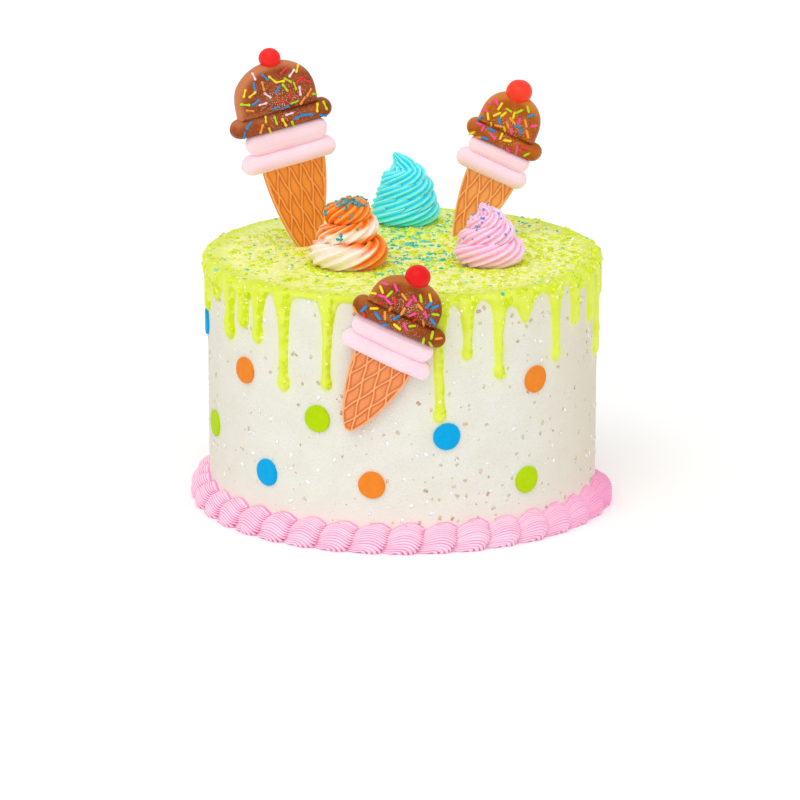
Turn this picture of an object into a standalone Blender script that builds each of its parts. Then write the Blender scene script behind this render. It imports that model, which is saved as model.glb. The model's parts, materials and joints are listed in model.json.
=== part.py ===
"""Ice cream cake: a tall round iced cake with a lime drip layer, a piped shell border round its foot,
three piped swirls on top, three fondant ice cream cones and round fondant dots on its side.

Metres, +Z up. The origin is the middle of the cake's underside and -Y is its front.
An azimuth is in degrees from the front, growing towards +X.
"""
import random
from math import cos, degrees, pi, radians, sin, sqrt

import bmesh
import bpy
from mathutils import Vector

MM = 0.001
GAP = 0.3 * MM  # space between pieces that touch

# The iced cake
SIDE_RADIUS = 107 * MM
BODY_HEIGHT = 135 * MM
BODY_EDGE = 1 * MM
BODY_STEPS = 72

# The lime layer and its drips
LAYER_TOP = 137.3 * MM
LAYER_RIM = 104.5 * MM  # radius where the flat top ends
DRIP_DEPTH = 2.4 * MM  # how far a drip stands out of the white icing
COVERED_DEPTH = 0.9 * MM  # the same under the cone on the front
COVERED_FROM = 103 * MM
COVERED_BELOW = 1.4  # how many times deeper a covered drip is further down
CROSSED_DRIP = (7.5, 13.2)  # azimuths of the drip that the front cone's pink scoop lies across
DRIP_FOOT = 1.5 * MM  # width of the fillet beside each drip
# Azimuth, length below the top, width, and the depth of the arch that follows, in millimetres
FRONT_DRIPS = [
    (-88.5, 14, 8, 8),
    (-79.2, 29, 9, 9),
    (-68.9, 19, 9, 11),
    (-59.5, 36, 9, 6.5),
    (-52.3, 27, 8, 3.4),
    (-45.7, 33, 7, 3.5),
    (-36.2, 56, 7, 3.4),
    (-21.7, 52, 5.6, 3.4),
    (10.3, 68, 6, 3.6),
    (18.4, 35, 5, 3.4),
    (28.4, 47, 5.6, 9),
    (37.2, 19, 18, 5),
    (49.6, 44, 6, 3.4),
    (59.5, 28, 7, 9),
    (70.4, 31, 8, 6),
    (77.6, 53, 8.6, 5),
    (84.0, 23, 8, 6),
]
BACK_DRIPS = 13
BACK_LENGTHS = (19, 26, 33, 45, 56)  # millimetres
FOOT_DROP = 2.5  # how far below its arch the fillet beside a drip ends, in millimetres
EDGE_DROP = 4  # the least height of a drip's straight edge, in millimetres
ARCH_SPACING = 9  # degrees between the lines of a wide arch

# Sugar crystals on the lime layer
CRYSTALS = 26
CRYSTAL_SIZE = 2.6 * MM

# The piped shells round the foot
SHELLS = 38
SHELL_START = -3.5  # azimuth of the groove before the first shell
SHELL_HEIGHT = 14.4 * MM
SHELL_REACH = 11 * MM  # how far a shell stands out from the cake
SHELL_SHARES = (0.02, 0.3, 0.62, 0.95)  # where along a shell its section is set
SHELL_TURNS = (12, 38, 64, 88)  # degrees up the rounded front of a section
SHELL_TAIL = 0.7  # how big a shell is at its left end
SHELL_TAPER = 0.14  # how much it loses at its right end
SEAM = 102  # azimuth of the seam, where the first shells meet the last
SEAM_REACH = 17  # degrees from the seam over which the shells shrink
SEAM_SIZE = 0.42

# Dots on the side: colour, azimuth and height in millimetres
DOT_RADIUS = 7.3 * MM
DOT_DEPTH = 1.4 * MM
DOTS = [
    ("blue", -83.5, 100.6),
    ("orange", -51.6, 87.6),
    ("lime", -71.8, 48.8),
    ("lime", -24.8, 69.4),
    ("blue", -42.5, 34.4),
    ("orange", -8.7, 35.4),
    ("blue", 12.6, 61.7),
    ("orange", 41.2, 86.6),
    ("lime", 38.2, 32.0),
    ("lime", 100.0, 84.0),
    ("orange", 105.0, 38.0),
    ("blue", 121.0, 60.0),
    ("orange", 137.0, 92.0),
    ("lime", 143.0, 34.0),
    ("blue", 160.0, 66.0),
    ("lime", 178.0, 96.0),
    ("orange", -168.0, 40.0),
    ("lime", -150.0, 82.0),
    ("blue", -131.0, 46.0),
    ("orange", -108.0, 68.0),
]

# The piped swirls
LIP_DEPTH = 0.13  # how deep the grooves are, as a share of the swirl's radius
# Middle, height, widths from foot to tip, coils, twist in degrees and shift of the tip, in millimetres
SWIRLS = {
    "orange": ((-29, -32.5), 37, (45, 43, 34, 31, 27, 24, 4), 2.6, 210, 0),
    "teal": ((1.7, 69.9), 40, (40, 38, 35, 31, 27, 20, 3), 3.2, 260, -6),
    "pink": ((46.3, -27.3), 33.4, (42, 40, 33, 30, 23, 16, 2), 2.8, 230, -4),
}

# The cones: each is laid out on its own flat pattern, u along its brown roll and v up the cone,
# from the middle of that roll. Its pieces share a flat back, and depths are measured from it.
CONE_DEPTH = 5 * MM
BAND_DEPTH = 6.5 * MM
DOME_DEPTH = 7 * MM
ROLL_DEPTH = 9 * MM
CHERRY_REST = 2.8 * MM  # how far in front of the brown scoop's back the cherry's middle is
STRIP_WIDTH = 7 * MM  # the front cone follows the cake's curve in strips
ROLL_TURNS = (-90, -54, -18, 18, 54, 90)  # degrees round each end of a roll
DOME_STEP = 15  # degrees round a dome
BAND_SHARES = (0, 0.35, 0.7, 1)  # up the side of a band
CONE_STEPS = 8  # down the side of a cone
# In millimetres. Brown roll: half length, radius. Pink roll: middle u and v, half length, radius.
# Scoop: middle u, half width. Dome: middle u, belly, half width, crown. Cherry: middle u and v, radius.
# Cone: length, half width, middle u at its mouth, how far that moves back by its tip, and its end.
TOPPERS = {
    "left": dict(brown_roll=(29.5, 5.4), pink_roll=(0, -21, 27.3, 5.6), scoop=(0.5, 24.3),
                 dome=(-1.2, 12, 23.2, 32.6), cherry=(-0.4, 34.4, 6.0),
                 cone=dict(length=53.6, half=18, middle=1.5, lean=0, end=0.99)),
    "right": dict(brown_roll=(22.2, 5.1), pink_roll=(0, -17.5, 20.8, 5.4), scoop=(0.8, 18.4),
                  dome=(-0.9, 10, 17.0, 27.0), cherry=(-2.5, 28.2, 7.2),
                  cone=dict(length=45, half=14.1, middle=1.9, lean=2.2, end=0.98)),
    "front": dict(brown_roll=(25.6, 5), pink_roll=(1.6, -19.1, 24.6, 4.7), scoop=(0.7, 22.9),
                  dome=(-0.9, 9, 18.9, 24.8), cherry=(-2.2, 26, 6.8),
                  cone=dict(length=41.6, half=15.5, middle=2, lean=0, end=0.99)),
}
SPRINKLE_LENGTH = 5.2 * MM
SPRINKLE_THICKNESS = 1.3 * MM

COLOURS = {
    "white icing": (0.86, 0.86, 0.78),
    "lime icing": (0.70, 0.80, 0.06),
    "border": (0.90, 0.38, 0.60),
    "teal swirl": (0.02, 0.62, 0.68),
    "pink swirl": (0.92, 0.45, 0.62),
    "orange swirl": (0.95, 0.22, 0.04),
    "cone": (0.72, 0.30, 0.09),
    "pink fondant": (0.95, 0.66, 0.72),
    "brown fondant": (0.16, 0.05, 0.02),
    "cherry": (0.85, 0.02, 0.02),
    "blue": (0.0, 0.36, 0.80),
    "lime": (0.46, 0.70, 0.01),
    "orange": (0.93, 0.25, 0.03),
}


def clear_scene():
    for old in list(bpy.data.objects):
        bpy.data.objects.remove(old, do_unlink=True)


def material(name):
    """The fondant or icing material of this name, made once."""
    found = bpy.data.materials.get(name)
    if found:
        return found
    made = bpy.data.materials.new(name)
    made.use_nodes = True
    shader = made.node_tree.nodes["Principled BSDF"]
    shader.inputs["Base Color"].default_value = (*COLOURS[name], 1)
    shader.inputs["Roughness"].default_value = 0.5
    shader.inputs["Metallic"].default_value = 0
    return made


def around(azimuth, radius, height):
    """The point at an azimuth in degrees from the front, a radius and a height."""
    angle = radians(azimuth)
    return Vector((radius * sin(angle), -radius * cos(angle), height))


def link(name, mesh, colour):
    mesh.materials.clear()
    mesh.materials.append(material(colour))
    made = bpy.data.objects.new(name, mesh)
    bpy.context.scene.collection.objects.link(made)
    return made


def smooth(mesh, angle=40):
    mesh.shade_smooth()
    mesh.set_sharp_from_angle(angle=radians(angle))


def skin(name, rings, colour, looped=False, shape=None):
    """One closed solid over rings of points. A ring of one point is a pole, an open end gets a flat
    cap, and in a looped skin the last ring joins the first. A shape function lays it in place."""
    work = bmesh.new()
    corners = [[work.verts.new(point) for point in ring] for ring in rings]
    pairs = list(zip(corners, corners[1:]))
    if looped:
        pairs.append((corners[-1], corners[0]))
    for low, high in pairs:
        steps = max(len(low), len(high))
        for i in range(steps):
            j = (i + 1) % steps
            if len(low) == 1:
                work.faces.new((low[0], high[i], high[j]))
            elif len(high) == 1:
                work.faces.new((low[i], low[j], high[0]))
            else:
                work.faces.new((low[i], low[j], high[j], high[i]))
    if not looped:
        for end in (corners[0], corners[-1]):
            if len(end) > 1:
                work.faces.new(end)
    if shape:
        shape(work)
    bmesh.ops.triangulate(work, faces=work.faces, quad_method="SHORT_EDGE")
    bmesh.ops.recalc_face_normals(work, faces=work.faces)
    if work.calc_volume(signed=True) < 0:
        bmesh.ops.reverse_faces(work, faces=work.faces)
    mesh = bpy.data.meshes.new(name)
    work.to_mesh(mesh)
    work.free()
    smooth(mesh)
    return link(name, mesh, colour)


def keep_main_body(mesh):
    """Drops sealed hollows and loose scraps, so that one closed body is left."""
    work = bmesh.new()
    work.from_mesh(mesh)
    bmesh.ops.triangulate(work, faces=work.faces)
    waiting = set(work.verts)
    bodies = []
    while waiting:
        body = set()
        edge = [waiting.pop()]
        while edge:
            corner = edge.pop()
            body.add(corner)
            for side in corner.link_edges:
                other = side.other_vert(corner)
                if other in waiting:
                    waiting.discard(other)
                    edge.append(other)
        bodies.append(body)
    main = max(bodies, key=len)
    bmesh.ops.delete(work, geom=[c for c in work.verts if c not in main], context="VERTS")
    work.to_mesh(mesh)
    work.free()


def combine(target, others, operation):
    """Joins other solids to a solid, or cuts them out of it, and removes them."""
    tools = bpy.data.collections.new("tools")
    bpy.context.scene.collection.children.link(tools)
    for other in others:
        bpy.context.scene.collection.objects.unlink(other)
        tools.objects.link(other)
    step = target.modifiers.new("combine", "BOOLEAN")
    step.operation = operation
    step.solver = "EXACT"
    step.operand_type = "COLLECTION"
    step.collection = tools
    graph = bpy.context.evaluated_depsgraph_get()
    mesh = bpy.data.meshes.new_from_object(target.evaluated_get(graph))
    target.modifiers.remove(step)
    keep_main_body(mesh)
    smooth(mesh)
    mesh.name = target.name
    target.data = mesh
    for other in others:
        bpy.data.objects.remove(other, do_unlink=True)
    bpy.data.collections.remove(tools)


def make_body():
    """The iced cake: one upright turned solid whose top edge is cut back a little."""
    profile = [(SIDE_RADIUS, 0), (SIDE_RADIUS, BODY_HEIGHT - BODY_EDGE),
               (SIDE_RADIUS - BODY_EDGE, BODY_HEIGHT)]
    turns = [360 * i / BODY_STEPS for i in range(BODY_STEPS)]
    rings = [[around(turn, radius, height) for turn in turns] for radius, height in profile]
    return skin("cake", rings, "white icing")


def all_drips():
    """The drips that show from the front, then more of their kind round the back."""
    chance = random.Random(11)
    drips = list(FRONT_DRIPS)
    start, end = FRONT_DRIPS[-1][0], FRONT_DRIPS[0][0] + 360
    pitch = (end - start) / (BACK_DRIPS + 1)
    for i in range(1, BACK_DRIPS + 1):
        azimuth = start + pitch * (i + chance.uniform(-0.16, 0.16))
        length = chance.choice(BACK_LENGTHS) + chance.uniform(-3, 3)
        for _, beside, height in DOTS:
            if abs((azimuth - beside + 180) % 360 - 180) < 9:
                length = min(length, LAYER_TOP / MM - height - 11)
        drips.append((azimuth, length, chance.uniform(5.6, 8.5), chance.uniform(3.4, 9)))
    return drips


def drip_columns():
    """Azimuth, length and depth of each upright line of the layer's skirt, all the way round."""
    drips = all_drips()
    columns = []
    per_mm = degrees(MM / SIDE_RADIUS)
    for i, (azimuth, length, width, arch) in enumerate(drips):
        before = drips[i - 1][3]
        after = drips[(i + 1) % len(drips)]
        next_azimuth = after[0] if after[0] > azimuth else after[0] + 360
        half = width / 2 * per_mm
        foot = degrees(DRIP_FOOT / SIDE_RADIUS)
        columns.append((azimuth - half - foot, before + FOOT_DROP, 0.55))
        columns.append((azimuth - half, max(length - 0.6 * width, before + EDGE_DROP), 0.4))
        columns.append((azimuth - half * 0.4, length, 1))
        columns.append((azimuth + half * 0.4, length, 1))
        columns.append((azimuth + half, max(length - 0.6 * width, arch + EDGE_DROP), 0.4))
        columns.append((azimuth + half + foot, arch + FOOT_DROP, 0.55))
        right = azimuth + half + foot
        left = next_azimuth - after[2] / 2 * per_mm - foot
        arches = 1 + int((left - right) / ARCH_SPACING)
        for k in range(arches):
            columns.append((right + (left - right) * (k + 1) / (arches + 1), arch, 0.6))
    return columns


def inner_radius(height):
    """Radius of the layer's inner face, which follows the cake's side and its cut edge."""
    bend = BODY_HEIGHT - BODY_EDGE + 0.4 * GAP
    return SIDE_RADIUS + GAP - max(0, height - bend)


def skirt_depth(azimuth, height, share):
    """How far the layer stands out of the white icing: less where the front cone covers it."""
    if not -20 < azimuth < 16:
        return DRIP_DEPTH * share
    deepest = COVERED_DEPTH if height > COVERED_FROM else COVERED_DEPTH * COVERED_BELOW
    return min(deepest, DRIP_DEPTH * share)


def make_drip_layer():
    """The lime layer: a disc over the top whose skirt runs down the side in drips."""
    inside = SIDE_RADIUS + GAP
    under = BODY_HEIGHT + GAP
    rows = [[] for _ in range(7)]
    for azimuth, length, share in drip_columns():
        tip = LAYER_TOP - length * MM
        shoulder = LAYER_TOP - 2.6 * MM if length > 8 else (tip + LAYER_TOP) / 2
        lowest = tip + min(3.5 * MM, (shoulder - tip) / 2)
        edge = (shoulder + LAYER_TOP) / 2 + 0.2 * MM
        bend = max(BODY_HEIGHT - BODY_EDGE, (tip + under) / 2)
        rows[0].append(around(azimuth, inner_radius(under), under))
        rows[1].append(around(azimuth, inner_radius(bend), bend))
        rows[2].append(around(azimuth, inner_radius(tip), tip))
        for row, height, part in ((3, lowest, share), (4, shoulder, 0.66), (5, edge, 0.2)):
            depth = skirt_depth(azimuth, height, part)
            rows[row].append(around(azimuth, inside + depth, height))
        rows[6].append(around(azimuth, LAYER_RIM, LAYER_TOP))
    return skin("drip_icing", rows, "lime icing")


def crystal(index, middle, size, chance):
    """A rough sugar grain: a squashed octahedron, half sunk in the icing."""
    spin = chance.uniform(0, 360)
    waist = []
    for corner in range(4):
        turn = radians(spin + 90 * corner)
        reach = size * chance.uniform(0.4, 0.6)
        waist.append(middle + Vector((reach * cos(turn), reach * sin(turn), 0.1 * MM)))
    top = [middle + Vector((0, 0, size * 0.42))]
    foot = [middle - Vector((0, 0, size * 0.3))]
    return skin("crystal_%02d" % index, [foot, waist, top], "lime icing")


def taken(place, spots):
    """Whether a place on the top is already under a swirl or a cone."""
    return any((place - Vector(spot)).length < reach for spot, reach in spots)


def add_crystals(layer, spots):
    """Sugar grains spread evenly over the top, each the furthest of many draws from the others."""
    chance = random.Random(5)
    places = []
    while len(places) < CRYSTALS:
        tries = []
        for _ in range(30):
            radius = (LAYER_RIM - 3 * MM) * sqrt(chance.random())
            place = around(chance.uniform(0, 360), radius, 0).to_2d()
            if not taken(place, spots):
                tries.append(place)
        far = max(tries, key=lambda p: min([(p - q).length for q in places], default=0))
        places.append(far)
    grains = []
    for index, place in enumerate(places):
        middle = Vector((place.x, place.y, LAYER_TOP))
        size = CRYSTAL_SIZE * chance.uniform(0.8, 1.2)
        grains.append(crystal(index, middle, size, chance))
    combine(layer, grains, "UNION")


def shell_size(share, azimuth):
    """How full a shell is along its length: a thin tail on its left and a fat head on its right.
    The shells beside the seam are small."""
    rise = sin(pi / 2 * min(1, share / 0.6))
    fall = SHELL_TAPER * max(0, (share - 0.75) / 0.25) ** 2
    size = SHELL_TAIL + (1 - SHELL_TAIL) * rise - fall
    near = max(0, 1 - abs(azimuth - SEAM) / SEAM_REACH)
    return size * (1 - (1 - SEAM_SIZE) * min(1, 2 * near))


def shell_section(azimuth, size):
    """One upright section of the border: flat below and against the cake, rounded in front."""
    inside = SIDE_RADIUS + GAP
    section = [(inside, 0), (inside + SHELL_REACH * 0.8 * size, 0)]
    for turn in SHELL_TURNS:
        reach = SHELL_REACH * size * cos(radians(turn)) ** 0.7
        height = SHELL_HEIGHT * size * sin(radians(turn)) ** 0.9
        section.append((inside + max(reach, 0.8 * MM), height))
    section.append((inside, SHELL_HEIGHT * size))
    return [around(azimuth, radius, height) for radius, height in section]


def make_border():
    """The shell border: one ring whose section swells and shrinks with each piped shell."""
    sections = []
    for shell in range(SHELLS):
        for share in SHELL_SHARES:
            azimuth = SHELL_START + 360 * (shell + share) / SHELLS
            sections.append(shell_section(azimuth, shell_size(share, azimuth)))
    return skin("shell_border", sections, "border", looped=True)


def swirl_radius(level, turn, tiers, widths):
    """Radius of a piped swirl at a level from 0 to 1: full coils that climb as they go round."""
    place = level * (len(widths) - 1)
    index = min(int(place), len(widths) - 2)
    width = widths[index] + (widths[index + 1] - widths[index]) * (place - index)
    coil = abs(sin(pi * (level * tiers - turn / (2 * pi)))) ** 0.6
    return width / 2 * (0.78 + 0.22 * coil)


def make_swirl(name, colour, centre, height, widths, tiers, twist, tip_shift):
    """A piped swirl: coils stacked to a tip, with lips that wind up and round them."""
    lips, rows = 11, 20
    base = LAYER_TOP + GAP
    rings = []
    for row in range(rows):
        level = row / rows
        ring = []
        for step in range(2 * lips):
            turn = 2 * pi * step / (2 * lips) + radians(twist) * level ** 1.15
            radius = swirl_radius(level, turn, tiers, widths)
            radius *= 1 if step % 2 else 1 - LIP_DEPTH * (1 - 0.3 * level)
            shift = tip_shift * level ** 3
            ring.append(Vector((centre[0] + shift + radius * sin(turn),
                                centre[1] - radius * cos(turn), base + height * level)))
        rings.append(ring)
    rings.append([Vector((centre[0] + tip_shift, centre[1], base + height))])
    return skin(name, rings, colour)


class Standing:
    """Places a pattern on a standing plaque: turned about the upright, then leaning in its plane."""

    def __init__(self, base, turn, lean, along, height):
        self.base = Vector((*base, height))
        self.across = Vector((cos(radians(turn)), sin(radians(turn)), 0))
        self.front = Vector((sin(radians(turn)), -cos(radians(turn)), 0))
        self.tilt = radians(lean)
        self.along = along

    def __call__(self, u, v, w):
        side = self.along + u * cos(self.tilt) - v * sin(self.tilt)
        rise = u * sin(self.tilt) + v * cos(self.tilt)
        up = Vector((0, 0, rise))
        return self.base + self.across * side + self.front * (w - CONE_DEPTH / 2) + up

    def lay(self, work):
        for corner in work.verts:
            corner.co = self(*corner.co)


class Wrapped:
    """Places a pattern round the cake's side, with depths measured out from the white icing."""

    def __init__(self, lean, along, height):
        self.tilt = radians(lean)
        self.along = along
        self.height = height

    def __call__(self, u, v, w):
        side = self.along + u * cos(self.tilt) - v * sin(self.tilt)
        rise = self.height + u * sin(self.tilt) + v * cos(self.tilt)
        return around(degrees(side / SIDE_RADIUS), SIDE_RADIUS + w, rise)

    def lay(self, work):
        """Cuts the flat pattern into upright strips first, so that it can follow the curve."""
        level = Vector((cos(self.tilt), -sin(self.tilt), 0))
        for strip in range(-6, 7):
            everything = list(work.verts) + list(work.edges) + list(work.faces)
            bmesh.ops.bisect_plane(work, geom=everything, dist=1e-6, plane_no=level,
                                   plane_co=level * (strip * STRIP_WIDTH))
        for corner in work.verts:
            corner.co = self(*corner.co)


def pillow(name, outline, back, front, shoulder, place, colour):
    """A slab of one outline with a flat back and a rounded front edge. The outline is a function
    of how far it is drawn in."""
    rings = [[Vector((u, v, back)) for u, v in outline(0)]]
    for turn in (0, 35, 90):
        inset = shoulder * (1 - cos(radians(turn)))
        depth = front - shoulder * (1 - sin(radians(turn)))
        rings.append([Vector((u, v, depth)) for u, v in outline(inset)])
    return skin(name, rings, colour, shape=place.lay)


def roll_outline(middle_u, middle_v, half_length, radius):
    """A roll seen from the front: a bar with round ends."""

    def outline(inset):
        points = []
        for end in (1, -1):
            for turn in ROLL_TURNS:
                reach = radius - inset
                u = middle_u + end * (half_length - radius + reach * cos(radians(turn)))
                v = middle_v + end * reach * sin(radians(turn))
                points.append((u, v))
        return points

    return outline


def dome_outline(middle, foot, belly, half_width, crown):
    """A scoop: upright sides from its foot to its belly, then a full round crown."""

    def outline(inset):
        low = foot + inset * 0.5
        points = [(middle - half_width + inset, low), (middle + half_width - inset, low)]
        for turn in range(0, 181, DOME_STEP):
            u = middle + (half_width - inset) * cos(radians(turn))
            v = belly + (crown - belly - inset) * sin(radians(turn)) ** 0.9
            points.append((u, v))
        return points

    return outline


def band_outline(middle, foot, top, half_width):
    """The band of scoop that shows between two rolls, drawn in towards its foot."""

    def outline(inset):
        sides = []
        for share in BAND_SHARES:
            v = foot + (top - foot) * share
            sides.append((half_width * (1 - 0.1 * (1 - share) ** 2) - inset, v))
        right = [(middle + u, v) for u, v in sides]
        return right + [(middle - u, v) for u, v in reversed(sides)]

    return outline


def cone_half_width(share, half_width):
    """Half the cone's width, from its mouth at 0 to its tip at 1: bowed sides and a blunt tip."""
    return half_width * (1 - share ** 1.4) ** 0.65


def cone_outline(mouth, cone, room=0):
    """The cone's outline down to a share of its length, with some room added all round it."""
    length = cone["length"] + 2 * room
    half_width = cone["half"] + 2 * room

    def outline(inset):
        right, left = [], []
        for step in range(CONE_STEPS + 1):
            share = cone["end"] * step / CONE_STEPS
            half = cone_half_width(share, half_width) * (1 - inset / half_width)
            middle = cone["middle"] - cone["lean"] * share
            v = mouth - inset - share * (length - 2 * inset)
            right.append((middle + half, v))
            left.append((middle - half, v))
        return right + left[::-1]

    return outline


def ball(name, middle, radius, colour, grow=0):
    """A ball of fondant, a little flattened."""
    rings = [[middle - Vector((0, 0, radius + grow))]]
    for tilt in (-60, -30, 0, 30, 60):
        ring = []
        for turn in range(0, 360, 30):
            out = (radius + grow) * cos(radians(tilt))
            up = (radius + grow) * sin(radians(tilt))
            ring.append(middle + Vector((out * cos(radians(turn)), out * sin(radians(turn)), up)))
        rings.append(ring)
    rings.append([middle + Vector((0, 0, radius + grow))])
    return skin(name, rings, colour)


def sprinkle(index, u, v, turn, surface, place):
    """A sugar strand lying on a surface: a short rod with cut ends, half sunk in the fondant."""
    half = SPRINKLE_LENGTH / 2
    thick = SPRINKLE_THICKNESS / 2
    rings = []
    for end in (-half, half):
        ring = []
        for corner in range(5):
            angle = radians(90 + 72 * corner)
            side = thick * cos(angle)
            rise = surface + thick * 0.5 + thick * sin(angle)
            along = u + end * cos(turn) - side * sin(turn)
            up = v + end * sin(turn) + side * cos(turn)
            ring.append(place(along, up, rise))
        rings.append(ring)
    return skin("sprinkle_%02d" % index, rings, "brown fondant")


def scatter(count, inside, seed):
    """Places for sprinkles, each the furthest of many draws from those before it."""
    chance = random.Random(seed)
    places = []
    while len(places) < count:
        tries = [spot for spot in (inside(chance) for _ in range(24)) if spot]
        places.append(max(tries, key=lambda p: min(
            [(Vector(p) - Vector(q)).length for q in places], default=0)))
    return [(u, v, chance.uniform(0, pi)) for u, v in places]


def make_drip_room(solid):
    """Cuts a shallow step in the back of a solid where it lies across a drip."""
    outer = SIDE_RADIUS + 2 * GAP + COVERED_DEPTH * COVERED_BELOW
    rings = []
    for height in (COVERED_FROM - 12 * MM, BODY_HEIGHT):
        corners = [(CROSSED_DRIP[0], SIDE_RADIUS), (CROSSED_DRIP[1], SIDE_RADIUS),
                   (CROSSED_DRIP[1], outer), (CROSSED_DRIP[0], outer)]
        rings.append([around(azimuth, radius, height) for azimuth, radius in corners])
    combine(solid, [skin("drip_room", rings, "lime icing")], "DIFFERENCE")


def cone_mouth(sizes):
    _, middle, _, radius = sizes["pink_roll"]
    return middle - radius - GAP


def make_topper(side, place, sizes, back, seed):
    """One fondant ice cream cone: waffle cone, pink scoop, pink roll, brown scoop, brown roll, cherry."""
    name = "cone_%s_" % side
    brown_back = back["brown"]
    pink_back = back["pink"]
    roll_half, roll_radius = sizes["brown_roll"]
    pink_u, pink_v, pink_half, pink_radius = sizes["pink_roll"]
    scoop_u, scoop_half = sizes["scoop"]

    outline = cone_outline(cone_mouth(sizes), sizes["cone"])
    pillow(name + "waffle", outline, pink_back, pink_back + CONE_DEPTH, 0.8 * MM, place, "cone")

    outline = band_outline(scoop_u, pink_v + pink_radius + GAP, -roll_radius - GAP, scoop_half)
    scoop = pillow(name + "pink_scoop", outline, pink_back, pink_back + BAND_DEPTH, 2.4 * MM, place,
                   "pink fondant")
    if side == "front":
        make_drip_room(scoop)
    outline = roll_outline(pink_u, pink_v, pink_half, pink_radius)
    pillow(name + "pink_roll", outline, pink_back, pink_back + ROLL_DEPTH, pink_radius * 0.85, place,
           "pink fondant")

    dome_u, belly, half, crown = sizes["dome"]
    outline = dome_outline(dome_u, roll_radius + GAP, belly, half, crown)
    dome = pillow(name + "brown_scoop", outline, brown_back, brown_back + DOME_DEPTH, 2.6 * MM, place,
                  "brown fondant")
    outline = roll_outline(0, 0, roll_half, roll_radius)
    bar = pillow(name + "brown_roll", outline, brown_back, brown_back + ROLL_DEPTH,
                 roll_radius * 0.85, place, "brown fondant")

    cherry_u, cherry_v, cherry_radius = sizes["cherry"]
    middle = place(cherry_u, cherry_v, brown_back + CHERRY_REST)
    ball(name + "cherry", middle, cherry_radius, "cherry")
    combine(dome, [ball("dent", middle, cherry_radius, "cherry", grow=1.6 * GAP)], "DIFFERENCE")

    def on_dome(chance):
        u = chance.uniform(-half + 5.5 * MM, half - 5.5 * MM)
        v = chance.uniform(roll_radius + 4 * MM, crown - 5 * MM)
        rim = (u / (half - 4.5 * MM)) ** 2 + (max(0, v - belly) / (crown - belly - 4 * MM)) ** 2
        to_cherry = Vector((dome_u + u - cherry_u, v - cherry_v)).length
        return None if rim > 1 or to_cherry < cherry_radius + 4 * MM else (dome_u + u, v)

    def on_bar(chance):
        return chance.uniform(-roll_half + 6 * MM, roll_half - 6 * MM), chance.uniform(-0.3, 0.3) * MM

    strands = [sprinkle(i, u, v, turn, brown_back + DOME_DEPTH, place)
               for i, (u, v, turn) in enumerate(scatter(9, on_dome, seed))]
    combine(dome, strands, "UNION")
    strands = [sprinkle(i, u, v, turn * 0.2, brown_back + ROLL_DEPTH, place)
               for i, (u, v, turn) in enumerate(scatter(4, on_bar, seed + 1))]
    combine(bar, strands, "UNION")


def make_slots(side, place, sizes, back, solids):
    """Cuts the narrow slot that a standing cone is pushed into, with a little room round it."""
    room = 1.2 * GAP
    outline = cone_outline(cone_mouth(sizes), sizes["cone"], room)(0)
    rings = []
    for depth in (back["pink"] - room, back["pink"] + CONE_DEPTH + room):
        ring = [place(u, v, depth) for u, v in outline]
        low = min(point.z for point in ring) + 2 * MM
        rings.append([point - Vector((0, 0, room)) if point.z < low else point for point in ring])
    for solid in solids:
        combine(solid, [skin("slot_" + side, rings, "cone")], "DIFFERENCE")


def make_dot(index, colour, azimuth, height):
    """A round fondant disc pressed on the curved side."""
    rings = []
    for depth, radius in ((GAP, DOT_RADIUS), (DOT_DEPTH, DOT_RADIUS * 0.94)):
        ring = []
        for turn in range(0, 360, 30):
            side = radius * cos(radians(turn))
            rise = radius * sin(radians(turn))
            ring.append(around(azimuth + degrees(side / SIDE_RADIUS), SIDE_RADIUS + depth, height + rise))
        rings.append(ring)
    return skin("dot_%02d" % index, rings, colour)


def in_metres(sizes):
    """A table of sizes in millimetres, turned into metres."""
    if isinstance(sizes, dict):
        return {name: value if name == "end" else in_metres(value) for name, value in sizes.items()}
    if isinstance(sizes, tuple):
        return tuple(value * MM for value in sizes)
    return sizes * MM


def main():
    clear_scene()
    body = make_body()
    layer = make_drip_layer()
    make_border()
    for index, (colour, azimuth, height) in enumerate(DOTS, 1):
        make_dot(index, colour, azimuth, height * MM)

    for name, (middle, height, widths, tiers, twist, tip_shift) in SWIRLS.items():
        place = [value * MM for value in middle]
        widths = [width * MM for width in widths]
        make_swirl("swirl_" + name, name + " swirl", place, height * MM, widths, tiers, twist,
                   tip_shift * MM)

    standing = dict(brown=-1.5 * MM, pink=0)
    stuck = dict(brown=1.6 * MM, pink=1.2 * GAP)
    sizes = {side: in_metres(table) for side, table in TOPPERS.items()}
    place_left = Standing((-51.4 * MM, 11.9 * MM), 22, 10.6, -14.9 * MM, 209.3 * MM)
    place_right = Standing((35.3 * MM, 33.3 * MM), -12, -22.4, 20.7 * MM, 192.9 * MM)
    place_front = Wrapped(-25.7, -1.7 * MM, 125.5 * MM)
    make_topper("left", place_left, sizes["left"], standing, 21)
    make_topper("right", place_right, sizes["right"], standing, 31)
    make_topper("front", place_front, sizes["front"], stuck, 41)
    make_slots("left", place_left, sizes["left"], standing, [body, layer])
    make_slots("right", place_right, sizes["right"], standing, [body, layer])
    spots = [([value * MM for value in middle], 24 * MM) for middle, *_ in SWIRLS.values()]
    spots += [((-51.4 * MM, 11.9 * MM), 14 * MM), ((35.3 * MM, 33.3 * MM), 14 * MM)]
    add_crystals(layer, spots)


main()
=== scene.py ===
# %% [markdown]
# # An ice cream cake
# This lesson dresses the plain solids of an iced party cake: white icing under a lime drip layer, a piped
# shell border, three piped swirls, three fondant cones and fondant dots. The solids are loaded first and
# never moved, so every piece made here lies exactly on the cake. Lengths are metres, +Z is up and the
# front looks along -Y. An azimuth is in degrees from the front, growing towards +X.

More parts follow.
